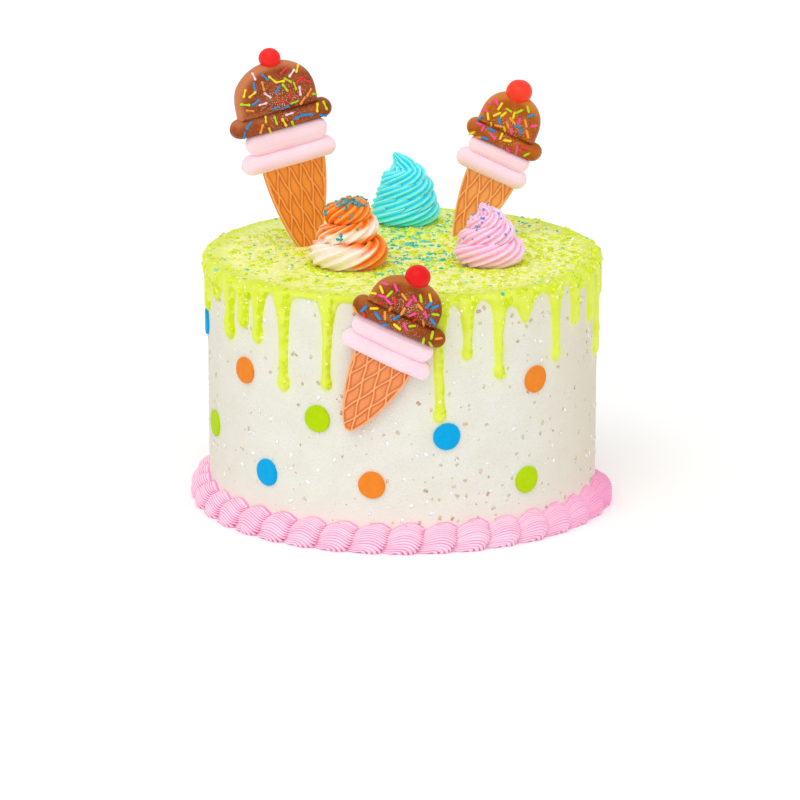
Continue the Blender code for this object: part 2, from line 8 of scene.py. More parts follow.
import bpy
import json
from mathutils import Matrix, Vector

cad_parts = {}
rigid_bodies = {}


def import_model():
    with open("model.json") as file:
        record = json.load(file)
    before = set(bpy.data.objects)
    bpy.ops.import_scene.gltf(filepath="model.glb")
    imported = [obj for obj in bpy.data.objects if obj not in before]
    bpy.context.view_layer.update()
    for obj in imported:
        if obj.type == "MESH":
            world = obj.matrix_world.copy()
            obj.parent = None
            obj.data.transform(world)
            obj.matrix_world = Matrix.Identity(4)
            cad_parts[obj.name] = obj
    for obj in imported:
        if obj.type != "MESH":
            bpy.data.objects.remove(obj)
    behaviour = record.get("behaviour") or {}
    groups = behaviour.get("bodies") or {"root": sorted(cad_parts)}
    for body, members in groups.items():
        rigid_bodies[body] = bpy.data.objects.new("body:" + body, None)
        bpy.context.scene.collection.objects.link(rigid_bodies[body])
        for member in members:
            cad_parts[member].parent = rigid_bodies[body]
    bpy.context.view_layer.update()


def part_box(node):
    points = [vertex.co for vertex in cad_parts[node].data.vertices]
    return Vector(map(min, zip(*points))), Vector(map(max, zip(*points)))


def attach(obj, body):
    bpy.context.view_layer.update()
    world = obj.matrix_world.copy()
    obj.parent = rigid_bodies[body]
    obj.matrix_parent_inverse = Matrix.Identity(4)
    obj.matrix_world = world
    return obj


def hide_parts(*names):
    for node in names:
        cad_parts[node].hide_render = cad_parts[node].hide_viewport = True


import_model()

# %% Modules and the driving sizes
import json
import math
import random

import bmesh
import bpy
import numpy as np
from mathutils import Vector, noise

MM = 0.001
SIDE_RADIUS_MM = 107
SIDE_RADIUS = SIDE_RADIUS_MM * MM
BODY_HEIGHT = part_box("cake")[1].z
LAYER_TOP = 137.3 * MM
MM_PER_DEGREE = math.radians(1) * SIDE_RADIUS / MM
print("body height", round(BODY_HEIGHT / MM, 1), "mm; one degree of side is", round(MM_PER_DEGREE, 3), "mm")

# %% [markdown]
# ## Small helpers for shapes
# Most pieces here follow a rule, so they are worked out as arrays of points and turned into one closed
# mesh. A ring of one point is a pole. The signed volume tells whether the faces look outwards, which is
# quicker and safer than recalculating the normals of a thin shell.


# %% Shape helpers
def around(azimuth, radius, height):
    """Points at azimuths in degrees from the front, radii and heights."""
    angle = np.radians(azimuth)
    parts = np.broadcast_arrays(radius * np.sin(angle), -radius * np.cos(angle), height)
    return np.stack(parts, axis=-1)


def skin(rings):
    """Points and faces of a closed skin over rings of points; a ring of one point is a pole."""
    points = []
    faces = []
    starts = []
    for ring in rings:
        starts.append(len(points))
        points.extend(ring)
    for low, high, a, b in zip(rings, rings[1:], starts, starts[1:]):
        steps = max(len(low), len(high))
        for i in range(steps):
            j = (i + 1) % steps
            if len(low) == 1:
                faces.append((a, b + i, b + j))
            elif len(high) == 1:
                faces.append((a + i, a + j, b))
            else:
                faces.append((a + i, a + j, b + j, b + i))
    return points, faces


def make_piece(name, points, faces, finish, marks=None):
    """A smooth mesh object with its faces outwards. Marks are named values on its points."""
    mesh = bpy.data.meshes.new(name)
    mesh.from_pydata([tuple(point) for point in points], [], faces)
    work = bmesh.new()
    work.from_mesh(mesh)
    if work.calc_volume(signed=True) < 0:
        bmesh.ops.reverse_faces(work, faces=work.faces)
    work.to_mesh(mesh)
    work.free()
    mesh.shade_smooth()
    for label, values in (marks or {}).items():
        mark = mesh.attributes.new(label, "FLOAT", "POINT")
        mark.data.foreach_set("value", np.asarray(values, np.float32).ravel())
    mesh.materials.append(finish)
    piece = bpy.data.objects.new(name, mesh)
    bpy.context.scene.collection.objects.link(piece)
    return piece


def dress(piece, slot, *nodes):
    """Rides a piece on the cake and hides the solids that it stands for. Its slot is not used."""
    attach(piece, "root")
    if nodes:
        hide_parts(*nodes)
    triangles = sum(len(face.vertices) - 2 for face in piece.data.polygons)
    print(piece.name, triangles, "triangles")


def blend_in(low, high, values):
    """A soft step from 0 at the low value to 1 at the high one."""
    share = np.clip((values - low) / (high - low), 0, 1)
    return share * share * (3 - 2 * share)


def soft_union(first, second, width):
    """The larger of two distances, with a fillet of that width where they meet."""
    near = np.clip(width - np.abs(first - second), 0, None) / width
    return np.maximum(first, second) + near * near * width / 4


def lumps(points, size, seed=0):
    """Smooth noise from -1 to 1 at each point, with lumps of a size in metres."""
    flat = np.asarray(points, float).reshape(-1, 3) / size + seed * 17.3
    values = [noise.noise(Vector(place)) for place in flat]
    return np.array(values).reshape(np.shape(points)[:-1])


# %% [markdown]
# ## Small helpers for finishes
# Icing, fondant and sugar differ in colour and grain, but share the same effects: a slow mottling of two
# colours, a fine grain for the bump, and specks. Each effect is one shader node group that gives only a
# colour, a mask or a height, and every material places it with its own values. All of them read Object
# coordinates, which are metres on the cake, so a scale of 1000 gives grains of a millimetre.


# %% Node helpers
def paint(red, green, blue):
    """A colour as a picture shows it, 0 to 255, as the linear values that shaders take."""
    channels = []
    for level in (red, green, blue):
        share = level / 255
        channels.append(share / 12.92 if share <= 0.04045 else ((share + 0.055) / 1.055) ** 2.4)
    return (*channels, 1.0)


def node(tree, kind, settings=None, inputs=None):
    """Adds a node. A setting is its property; an input is a value or the socket that feeds it."""
    made = tree.nodes.new(kind)
    for key, value in (settings or {}).items():
        setattr(made, key, value)
    for key, value in (inputs or {}).items():
        if isinstance(value, bpy.types.NodeSocket):
            tree.links.new(value, made.inputs[key])
        else:
            made.inputs[key].default_value = value
    return made


def start_group(name, kind, inputs, outputs):
    """A node group, its input sockets and its output node. Sockets are name: (socket type, default)."""
    tree = bpy.data.node_groups.new(name, kind)
    for side, sockets in (("INPUT", inputs), ("OUTPUT", outputs)):
        for label, (socket_type, default) in sockets.items():
            socket = tree.interface.new_socket(label, in_out=side, socket_type=socket_type)
            if default is not None:
                socket.default_value = default
    return tree, tree.nodes.new("NodeGroupInput").outputs, tree.nodes.new("NodeGroupOutput")


def calculate(tree, operation, *values):
    """The output of a calculation in a tree, on numbers or sockets."""
    return node(tree, "ShaderNodeMath", {"operation": operation}, dict(enumerate(values))).outputs[0]


def mix_colours(tree, share, first, second):
    """The output of a colour mix, for a share that is a value or a socket."""
    made = node(tree, "ShaderNodeMix", {"data_type": "RGBA"}, {0: share, 6: first, 7: second})
    return made.outputs[2]


def stretch(tree, value, low, high, top=1.0):
    """Maps a socket from low..high onto 0..top, with soft ends."""
    made = node(tree, "ShaderNodeMapRange", {"interpolation_type": "SMOOTHSTEP"},
                {"Value": value, "From Min": low, "From Max": high, "To Max": top})
    return made.outputs["Result"]


VALUE = "NodeSocketFloat"
COLOUR = "NodeSocketColor"
VECTOR = "NodeSocketVector"

# %% The mottling group: two colours in slow patches
MOTTLE, given, ends_out = start_group(
    "Mottling", "ShaderNodeTree",
    {"Place": (VECTOR, None), "Scale": (VALUE, 100.0), "Light": (COLOUR, None), "Deep": (COLOUR, None),
     "Edge": (VALUE, 0.25)},
    {"Color": (COLOUR, None), "Mask": (VALUE, None)})
patches = node(MOTTLE, "ShaderNodeTexNoise", None,
               {"Vector": given["Place"], "Scale": given["Scale"], "Detail": 4.0})
below = calculate(MOTTLE, "SUBTRACT", 0.5, given["Edge"])
above = calculate(MOTTLE, "ADD", 0.5, given["Edge"])
share = stretch(MOTTLE, patches.outputs[0], below, above)
mixed = mix_colours(MOTTLE, share, given["Light"], given["Deep"])
MOTTLE.links.new(mixed, ends_out.inputs["Color"])
MOTTLE.links.new(share, ends_out.inputs["Mask"])

# %% The grain group: a height made of coarse and fine noise
GRAIN, given, ends_out = start_group(
    "Grain", "ShaderNodeTree",
    {"Place": (VECTOR, None), "Coarse": (VALUE, 250.0), "Fine": (VALUE, 1500.0), "Fine share": (VALUE, 0.3)},
    {"Height": (VALUE, None)})
coarse = node(GRAIN, "ShaderNodeTexNoise", None,
              {"Vector": given["Place"], "Scale": given["Coarse"], "Detail": 3.0})
fine = node(GRAIN, "ShaderNodeTexNoise", None,
            {"Vector": given["Place"], "Scale": given["Fine"], "Detail": 2.0})
height = node(GRAIN, "ShaderNodeMix", {"data_type": "FLOAT"},
              {0: given["Fine share"], 2: coarse.outputs[0], 3: fine.outputs[0]})
GRAIN.links.new(height.outputs[0], ends_out.inputs["Height"])

# %% The speck group: round specks in some cells of a pattern
SPECKS, given, ends_out = start_group(
    "Specks", "ShaderNodeTree",
    {"Place": (VECTOR, None), "Scale": (VALUE, 600.0), "Size": (VALUE, 0.25), "Share": (VALUE, 0.2)},
    {"Mask": (VALUE, None)})
cells = node(SPECKS, "ShaderNodeTexVoronoi", None,
             {"Vector": given["Place"], "Scale": given["Scale"]})
inside = calculate(SPECKS, "LESS_THAN", cells.outputs["Distance"], given["Size"])
drawn = node(SPECKS, "ShaderNodeSeparateColor", None, {"Color": cells.outputs["Color"]})
chosen = calculate(SPECKS, "LESS_THAN", drawn.outputs[0], given["Share"])
SPECKS.links.new(calculate(SPECKS, "MULTIPLY", inside, chosen), ends_out.inputs["Mask"])
print("shared effects:", MOTTLE.name, GRAIN.name, SPECKS.name)


# %% A material with mottling and grain
SOFT_REACH = 2 * MM  # how far light goes in soft icing and fondant


def start_finish(name, light, deep, scale=120.0, edge=0.3, roughness=0.5, bump=0.2, coarse=250.0,
                 fine=1500.0, fine_share=0.3, soft=0.0, soft_colour=(1.0, 0.5, 0.4), shine=0.2, glow=0.0):
    """A material and what later steps add to: its tree, shader, place and mottled colour."""
    made = bpy.data.materials.new(name)
    made.use_nodes = True
    tree = made.node_tree
    shader = tree.nodes["Principled BSDF"]
    settings = {"Roughness": roughness, "Specular IOR Level": shine, "Subsurface Weight": soft,
                "Subsurface Radius": soft_colour, "Subsurface Scale": SOFT_REACH,
                "Emission Color": light, "Emission Strength": glow}
    for label, value in settings.items():
        shader.inputs[label].default_value = value
    place = node(tree, "ShaderNodeTexCoord").outputs["Object"]
    colours = node(tree, "ShaderNodeGroup", {"node_tree": MOTTLE},
                   {"Place": place, "Scale": scale, "Light": light, "Deep": deep, "Edge": edge})
    grain = node(tree, "ShaderNodeGroup", {"node_tree": GRAIN},
                 {"Place": place, "Coarse": coarse, "Fine": fine, "Fine share": fine_share})
    relief = node(tree, "ShaderNodeBump", None,
                  {"Strength": 1.0, "Distance": bump * MM, "Height": grain.outputs["Height"]})
    tree.links.new(colours.outputs["Color"], shader.inputs["Base Color"])
    tree.links.new(relief.outputs["Normal"], shader.inputs["Normal"])
    return made, tree, shader, place, colours.outputs["Color"]


def plain_finish(name, light, deep, **values):
    """A finish with nothing added to its mottling and grain."""
    return start_finish(name, light, deep, **values)[0]


def mark_value(tree, label):
    """The socket that reads a named value from the mesh."""
    return node(tree, "ShaderNodeAttribute", {"attribute_name": label}).outputs["Fac"]


def patch_mask(tree, place, scale, edge):
    """The mask of the mottling group alone: patches with sharp edges for a small edge."""
    made = node(tree, "ShaderNodeGroup", {"node_tree": MOTTLE},
                {"Place": place, "Scale": scale, "Edge": edge})
    return made.outputs["Mask"]


def speck_mask(tree, place, scale, size, share):
    """Specks at a scale, with a size inside their cells, in a share of the cells."""
    made = node(tree, "ShaderNodeGroup", {"node_tree": SPECKS},
                {"Place": place, "Scale": scale, "Size": size, "Share": share})
    return made.outputs["Mask"]


def tint_in(tree, colour, mask, share, tint):
    """Mixes a tint into a colour by a mask, weakened by a share that is a value or another mask."""
    return mix_colours(tree, calculate(tree, "MULTIPLY", mask, share), colour, tint)


# %% [markdown]
# ## Camera, light and floor
# The picture was taken from the front and a little above with a long lens: the cake's rims give the
# camera's height and distance. The light is a bright white studio: an even pale surround, a wide key light
# a little left of the camera and a weak warm one at the right, so shades stay light and full of colour.
# Both are suns with a wide disc, because an area lamp would let the floor go grey with distance. The
# brightest icings and sugars also glow a little, for the light that real icing scatters inside itself.

# %% Camera
CAMERA_PLACE = Vector((-1.3 * MM, -2.140, 0.6529))
CAMERA_TILT = 15.676
CAMERA_LENS = 180.93
view = bpy.data.cameras.new("camera")
view.sensor_width = 36
view.lens = CAMERA_LENS
view.clip_start = 0.05
view.clip_end = 60
camera = bpy.data.objects.new("camera", view)
camera.location = CAMERA_PLACE
camera.rotation_euler = (math.radians(90 - CAMERA_TILT), 0, 0)
bpy.context.scene.collection.objects.link(camera)
bpy.context.scene.camera = camera
bpy.context.scene.view_settings.view_transform = "Standard"

# %% Lights
WORLD_LIGHT = 0.74


def soft_sun(name, azimuth, elevation, strength, spread, tint):
    """A far, wide light, so that the whole floor is lit alike. Its azimuth is from the front."""
    lamp = bpy.data.lights.new(name, "SUN")
    lamp.energy = strength
    lamp.angle = math.radians(spread)
    lamp.color = tint
    made = bpy.data.objects.new(name, lamp)
    made.rotation_euler = (math.radians(90 - elevation), 0, math.radians(azimuth))
    bpy.context.scene.collection.objects.link(made)
    return made


world = bpy.data.worlds.new("studio")
world.use_nodes = True
world.node_tree.nodes["Background"].inputs["Color"].default_value = (1, 1, 1, 1)
world.node_tree.nodes["Background"].inputs["Strength"].default_value = WORLD_LIGHT
bpy.context.scene.world = world
soft_sun("key", -24, 56, 0.95, 50, (1, 0.995, 0.98))
soft_sun("fill", 60, 30, 0.12, 60, (1, 0.95, 0.88))
print("camera at", tuple(round(v, 4) for v in CAMERA_PLACE), "surround", WORLD_LIGHT)

# %% Floor
FLOOR_HALF = 14.0
FLOOR_DROP = 0.2 * MM  # how far it lies under the cake, so that the two never flicker
FLOOR_GLOW = 0.10  # a lit table top, so that the floor stays white
floor_finish = plain_finish("floor paint", paint(252, 252, 252), paint(249, 249, 250), scale=2.0,
                            roughness=0.85, bump=0.0)
floor_shader = floor_finish.node_tree.nodes["Principled BSDF"]
floor_shader.inputs["Emission Color"].default_value = (1, 1, 1, 1)
floor_shader.inputs["Emission Strength"].default_value = FLOOR_GLOW
corners = [(-FLOOR_HALF, -FLOOR_HALF), (FLOOR_HALF, -FLOOR_HALF), (FLOOR_HALF, FLOOR_HALF),
           (-FLOOR_HALF, FLOOR_HALF)]
floor_mesh = bpy.data.meshes.new("floor")
floor_mesh.from_pydata([(x, y, -FLOOR_DROP) for x, y in corners], [], [(0, 1, 2, 3)])
floor_mesh.materials.append(floor_finish)
floor = bpy.data.objects.new("floor", floor_mesh)
bpy.context.scene.collection.objects.link(floor)

# %% [markdown]
# ## The lime layer
# A real drip layer is poured warm over a cold cake: it lies flat on top, rounds over the edge and runs
# down in tongues that end in fat drops. It could be a disc with modelled tongues joined on, but joints
# between them never look poured. Here the skirt is one field instead: at each azimuth and height a signed
# distance says how far inside the icing's outline a point is, and the thickness follows from it. Tongues
# and arches join by a soft union, which gives the webs between them for nothing.

# %% The drips' places and sizes
# Azimuth, length below the top, width, and the depth of the arch that follows, in millimetres
FRONT_DRIPS = [
    (-88.5, 14, 8, 8), (-79.2, 29, 9, 9), (-68.9, 19, 9, 11), (-59.5, 36, 9, 6.5), (-52.3, 27, 8, 3.4),
    (-45.7, 33, 7, 3.5), (-36.2, 56, 7, 3.4), (-21.7, 52, 5.6, 3.4), (10.3, 68, 6, 3.6),
    (18.4, 35, 5, 3.4), (28.4, 47, 5.6, 9), (37.2, 19, 18, 5), (49.6, 44, 6, 3.4), (59.5, 28, 7, 9),
    (70.4, 31, 8, 6), (77.6, 53, 8.6, 5), (84.0, 23, 8, 6)]
BACK_DRIPS = 13
BACK_LENGTHS = (19, 26, 33, 45, 56)
BESIDE_DOT = 9  # within how many degrees of a dot a drip ends above it
ABOVE_DOT = 11  # how many millimetres above the dot's middle

# Dots on the side: colour, azimuth and height in millimetres
DOTS = [
    ("blue", -83.5, 100.6), ("orange", -51.6, 87.6), ("lime", -71.8, 48.8), ("lime", -24.8, 69.4),
    ("blue", -42.5, 34.4), ("orange", -8.7, 35.4), ("blue", 12.6, 61.7), ("orange", 41.2, 86.6),
    ("lime", 38.2, 32.0), ("lime", 100.0, 84.0), ("orange", 105.0, 38.0), ("blue", 121.0, 60.0),
    ("orange", 137.0, 92.0), ("lime", 143.0, 34.0), ("blue", 160.0, 66.0), ("lime", 178.0, 96.0),
    ("orange", -168.0, 40.0), ("lime", -150.0, 82.0), ("blue", -131.0, 46.0), ("orange", -108.0, 68.0)]


def all_drips():
    """The drips that show from the front, then more of their kind round the back."""
    chance = random.Random(11)
    drips = list(FRONT_DRIPS)
    start, end = FRONT_DRIPS[-1][0], FRONT_DRIPS[0][0] + 360
    pitch = (end - start) / (BACK_DRIPS + 1)
    for i in range(1, BACK_DRIPS + 1):
        azimuth = start + pitch * (i + chance.uniform(-0.16, 0.16))
        length = chance.choice(BACK_LENGTHS) + chance.uniform(-3, 3)
        for _, beside, height in DOTS:
            if abs((azimuth - beside + 180) % 360 - 180) < BESIDE_DOT:
                length = min(length, LAYER_TOP / MM - height - ABOVE_DOT)
        drips.append((azimuth, length, chance.uniform(5.6, 8.5), chance.uniform(3.4, 9)))
    return drips


print("drips:", len(all_drips()))

# %% The distance field of the skirt
# Millimetres on the side of the cake
WEB = 3.6  # fillet where a drip leaves the arch
FLARE = 3.6  # how much wider each side of a drip is where it leaves the arch
FLARE_TOP = 5.0  # how far below the top that widening starts to fade
FLARE_REACH = 9.0  # how far down it fades
NECK = 2.2  # fillet between a drip and the drop at its foot
EDGE_WOBBLE = 1.1  # how far the outline wavers
DRIP_WAVE = 0.35  # how far a drip sways from side to side
POINT_HALF = 0.4  # half the width of a drip that ends in a point of crystals
POINTED = (37.2,)  # azimuths of such drips
SLANTED = {-36.2: 0.5, 10.3: 0.3}  # how far a drip's foot is off its top, by its azimuth

# Shares of a drip's width
SHAFT_SHARE = 0.8  # how wide the drip itself is
DROP_SHARE = 1.1  # how wide the drop at its foot is
DROP_STRETCH = 1.25  # how much longer than wide the drop is


def arch_line(azimuths):
    """Depth of the layer's edge between the drips, in millimetres below the top."""
    drips = all_drips()
    middles = []
    depths = []
    for (azimuth, _, _, arch), after in zip(drips, drips[1:] + [(drips[0][0] + 360, 0, 0, 0)]):
        middles.append((azimuth + after[0]) / 2)
        depths.append(arch)
    wrapped = [middle + turn for turn in (-360, 0, 360) for middle in middles]
    return np.interp(azimuths, wrapped, depths * 3)


def skirt_field(azimuths, heights):
    """Signed distance inside the skirt's outline, and how far right in a drip each point lies."""
    across, up = np.meshgrid(azimuths, heights / MM)
    top = LAYER_TOP / MM
    wobble = lumps(around(across, SIDE_RADIUS, up * MM), 5 * MM, 1)
    field = up - (top - arch_line(azimuths)[None, :]) + wobble * EDGE_WOBBLE
    side = np.full(across.shape, -1.0)
    chance = random.Random(7)
    for azimuth, length, width, _ in all_drips():
        x = ((across - azimuth + 180) % 360 - 180) * MM_PER_DEGREE
        down = np.clip((top - up) / length, 0, 1.2)
        x = x - SLANTED.get(azimuth, chance.uniform(-0.5, 0.5)) * down ** 1.5
        x = x - DRIP_WAVE * np.sin(up / chance.uniform(6, 11) + chance.uniform(0, 6))
        tip = top - length
        if azimuth in POINTED:
            half = width / 2 * np.clip(1 - down, 0, 1) ** 0.8 + POINT_HALF
            drip = np.minimum(half - np.abs(x), up - tip)
        else:
            drop = width / 2 * DROP_SHARE
            flare = FLARE * np.exp(-np.clip(top - FLARE_TOP - up, 0, None) / FLARE_REACH)
            shaft = np.minimum(width / 2 * SHAFT_SHARE + flare - np.abs(x), up - tip - drop)
            rise = (up - tip - drop * DROP_STRETCH) / DROP_STRETCH
            drip = soft_union(shaft, drop - np.sqrt(x ** 2 + rise ** 2), NECK)
        side = np.where(drip > -1, np.clip(x / width * 2, -1, 1), side)
        field = soft_union(field, drip, WEB)
    return field, side


# %% From the field to a thickness
DRIP_DEPTH = 2.3
ROUND_OFF = 2.7  # how far in from its outline the icing reaches its full depth
SLOPE = 1.3  # how fast the skin dips beyond the outline
SUNK = -0.8  # where there is no lime, the skin lies this far in the white icing
SURFACE_RISE = 0.16  # lumps all over the drips
CRUST_RISE = 0.22  # crystals on the crusted side of a drip
COVERED = (-20, 16)  # azimuths where the front cone lies on the layer
COVERED_DEPTH = 0.85  # the icing's depth under it
COVERED_FROM = 103  # the height above which the cone lies close
BELOW_SHARE = 1.4  # how much deeper the icing may be under that height

# Spilled drops: azimuth, height, reach and rise in millimetres
SPILLS = [(29.0, 107.5, 2.4, 1.0), (19.4, 121.0, 2.0, 0.8), (-35.0, 96.0, 2.2, 0.7),
          (11.0, 88.0, 2.0, 0.6), (-60.5, 112.0, 2.5, 0.8), (78.0, 100.0, 2.4, 0.8),
          (28.0, 86.0, 1.3, 0.7), (27.4, 82.5, 1.5, 0.9)]


def skirt_thickness(azimuths, heights):
    """Thickness in millimetres over the white icing, negative under it, and where it is crusted."""
    field, side = skirt_field(azimuths, heights)
    across, up = np.meshgrid(azimuths, heights / MM)
    surface = around(across, SIDE_RADIUS, up * MM)
    crust = blend_in(0.0, 0.7, side + 0.45 * lumps(surface, 4 * MM, 3))
    ragged = 0.3 + 0.4 * blend_in(25, 60, across) * blend_in(110, 90, across)
    field = field + crust * ragged * lumps(surface, 1.6 * MM, 4)
    full = np.clip(field / ROUND_OFF, 0, 1)
    thick = DRIP_DEPTH * (1 - (1 - full) ** 2)
    grain = SURFACE_RISE * lumps(surface, 5 * MM, 5) + crust * CRUST_RISE * lumps(surface, 1.3 * MM, 6)
    thick = thick + full * grain
    for azimuth, height, reach, rise in SPILLS:
        x = (across - azimuth) * MM_PER_DEGREE
        thick = thick + rise * np.exp(-(x ** 2 + (up - height) ** 2) / reach ** 2)
    thick = np.where(field < 0, np.maximum(field * SLOPE, SUNK), thick)
    covered = (across > COVERED[0]) & (across < COVERED[1])
    deepest = np.where(up > COVERED_FROM, COVERED_DEPTH, COVERED_DEPTH * BELOW_SHARE)
    return np.where(covered, np.minimum(thick, deepest), thick), crust


# %% [markdown]
# The field is sampled on a grid of azimuths and heights. Cells where the skin stays under the white icing
# are dropped, and the cells that are left are closed by a second skin inside the cake. The top is a flat
# disc whose rings halve their points on the way in, so that its cells stay about square.

# %% The lime layer's mesh
COLUMNS = 960
ROW_STEP = 0.8 * MM
SKIRT_FOOT = LAYER_TOP - 72 * MM
SHOULDER = LAYER_TOP - 2.6 * MM
SHOULDER_DEPTH = 1.6  # how far the shoulder stands out, in millimetres
INNER_RADIUS = SIDE_RADIUS - 1.2 * MM
LAYER_RIM = 104.5 * MM
RING_STEP = 1.9 * MM
SMALLEST_RING = 4 * MM
LEAST_WIDTH = 0.36 * MM  # a ring with cells narrower than this halves its points
FEWEST_POINTS = 60
LEAST_DEPTH = -0.45  # cells whose skin lies deeper than this hold no lime


def skirt_grid():
    """Azimuths and heights of the skirt's grid."""
    azimuths = np.arange(COLUMNS) * 360 / COLUMNS - 180
    rows = int((SHOULDER - SKIRT_FOOT) / ROW_STEP) + 1
    return azimuths, np.linspace(SKIRT_FOOT, SHOULDER, rows)


def kept_cells(thick):
    """Which cells of the skirt hold lime. Cells that touch only at a corner are joined by a third."""
    high = thick > LEAST_DEPTH
    beside = np.roll(high, -1, axis=1)
    keep = (high | beside)[:-1] | (high | beside)[1:]
    for _ in range(3):
        right = np.roll(keep, -1, axis=1)
        falling = keep[:-1] & right[1:] & ~right[:-1] & ~keep[1:]
        rising = right[:-1] & keep[1:] & ~keep[:-1] & ~right[1:]
        keep[1:] |= falling
        keep[:-1] |= rising
    return keep


def add_cells(faces, keep, outer, inner):
    """Faces of the kept cells on both skins, and the walls round their edges."""
    rows, columns = keep.shape
    for i in range(rows):
        for j in np.nonzero(keep[i])[0]:
            k = (j + 1) % columns
            faces.append((outer[i, j], outer[i, k], outer[i + 1, k], outer[i + 1, j]))
            faces.append((inner[i, j], inner[i + 1, j], inner[i + 1, k], inner[i, k]))
            if i == 0 or not keep[i - 1, j]:
                faces.append((outer[i, j], inner[i, j], inner[i, k], outer[i, k]))
            if not keep[i, j - 1]:
                faces.append((outer[i, j], outer[i + 1, j], inner[i + 1, j], inner[i, j]))
            if not keep[i, k]:
                faces.append((outer[i, k], inner[i, k], inner[i + 1, k], outer[i + 1, k]))


def top_rings():
    """Radius, height, number of points and share of shoulder of each ring, from the shoulder inwards."""
    rings = []
    for turn in range(15, 91, 15):
        bend = math.radians(turn)
        reach = LAYER_RIM + (SIDE_RADIUS + SHOULDER_DEPTH * MM - LAYER_RIM) * math.cos(bend) ** 0.8
        rings.append((reach, SHOULDER + (LAYER_TOP - SHOULDER) * math.sin(bend), COLUMNS, math.cos(bend)))
    radius = LAYER_RIM
    count = COLUMNS
    while radius > SMALLEST_RING:
        radius -= RING_STEP
        if count > FEWEST_POINTS and 2 * math.pi * radius / count < LEAST_WIDTH:
            count //= 2
        rings.append((radius, LAYER_TOP, count, 0.0))
    return rings


def join_rings(faces, low, high):
    """Faces between two rings, the upper one with as many points or half as many."""
    steps = len(high)
    ratio = len(low) // steps
    for i in range(steps):
        j = (i + 1) % steps
        if ratio == 1:
            faces.append((low[i], low[j], high[j], high[i]))
        else:
            faces.append((low[2 * i], low[2 * i + 1], high[i]))
            faces.append((low[2 * i + 1], low[(2 * i + 2) % len(low)], high[j], high[i]))


# %% [markdown]
# The sugar on the layer isn't even: it is thick in the middle of the top, lies in teal drifts between the
# cones and swirls, and gathers in clumps, on the edge and round the foot of each swirl. Weights painted by
# hand would be lost with every change of the mesh, so each kind is a mark worked out at the points, from 0
# to 1, which later says how densely its grains are strewn.

# %% The lime layer's marks
SWIRL_PLACES = {"orange": (-29, -32.5), "teal": (1.7, 69.9), "pink": (46.3, -27.3)}  # x and y in mm
FOOT_REACHES = {"orange": 21.6, "teal": 19.8, "pink": 20.2}
FOOT_LINE = 1.3  # half the width of the line of clumps round a swirl's foot

# Drifts of teal sugar on the top: x, y and reach in millimetres, and share
TEAL_DRIFTS = [(0, -20, 20, 1.0), (2, 18, 22, 0.9), (8, -48, 17, 0.7), (-6, 46, 22, 0.5),
               (-44, 40, 22, 0.12), (42, 62, 26, 0.4), (-60, -16, 26, 0.07), (28, 2, 22, 0.4)]


def distance_from(spots, x, y):
    """How far points are from the upright line at a place given in millimetres."""
    return np.hypot(spots[:, 0] - x * MM, spots[:, 1] - y * MM)


def side_sugar(up, thick, crust):
    """Density of sugar on the side: below the edge, and on the crusted sides of drips."""
    near_edge = blend_in(LAYER_TOP - 20 * MM, LAYER_TOP - 4 * MM, up) * 0.2
    return (near_edge + crust * blend_in(0.4, 1.4, thick) * 0.2) * (thick > 0.3)


def teal_drift(spots, on_top):
    """Density of teal sugar: broken drifts on the top."""
    drift = on_top * 0.02
    for x, y, reach, share in TEAL_DRIFTS:
        away = distance_from(spots, x, y) / (reach * MM)
        drift = drift + on_top * share * np.exp(-away ** 2)
    return np.clip(drift * blend_in(-0.15, 0.35, lumps(spots, 6 * MM, 13)), 0, 1)


def clump_share(spots, sugar, on_top):
    """Density of lime sugar: patches where there is sugar and on the edge, and round the swirls."""
    outward = np.hypot(spots[:, 0], spots[:, 1])
    patches = blend_in(0.16, 0.42, lumps(spots, 3.4 * MM, 12) + 0.25 * lumps(spots, 22 * MM, 14))
    rim = blend_in(98 * MM, 104 * MM, outward) * blend_in(LAYER_TOP - 9 * MM, LAYER_TOP - 3 * MM, spots[:, 2])
    to_right = 0.5 + 3 * np.clip(spots[:, 0], 0, 1)
    clumps = patches * np.maximum(sugar, rim * (sugar > 0) * to_right)
    for swirl, (x, y) in SWIRL_PLACES.items():
        away = distance_from(spots, x, y) / MM - FOOT_REACHES[swirl]
        clumps = np.maximum(clumps, on_top * np.exp(-(away / FOOT_LINE) ** 2))
    return clumps


# %% The lime layer in one mesh
TOP_LUMPS = 0.34  # rise of the broad lumps on the top, in millimetres
TOP_GRAIN = 0.16  # and of the fine ones


def drop_unused(points, faces):
    """Which points the faces use, and the faces renumbered for those points alone."""
    used = np.zeros(len(points), bool)
    used[[corner for face in faces for corner in face]] = True
    renumber = np.cumsum(used) - 1
    return used, [tuple(int(renumber[corner]) for corner in face) for face in faces]


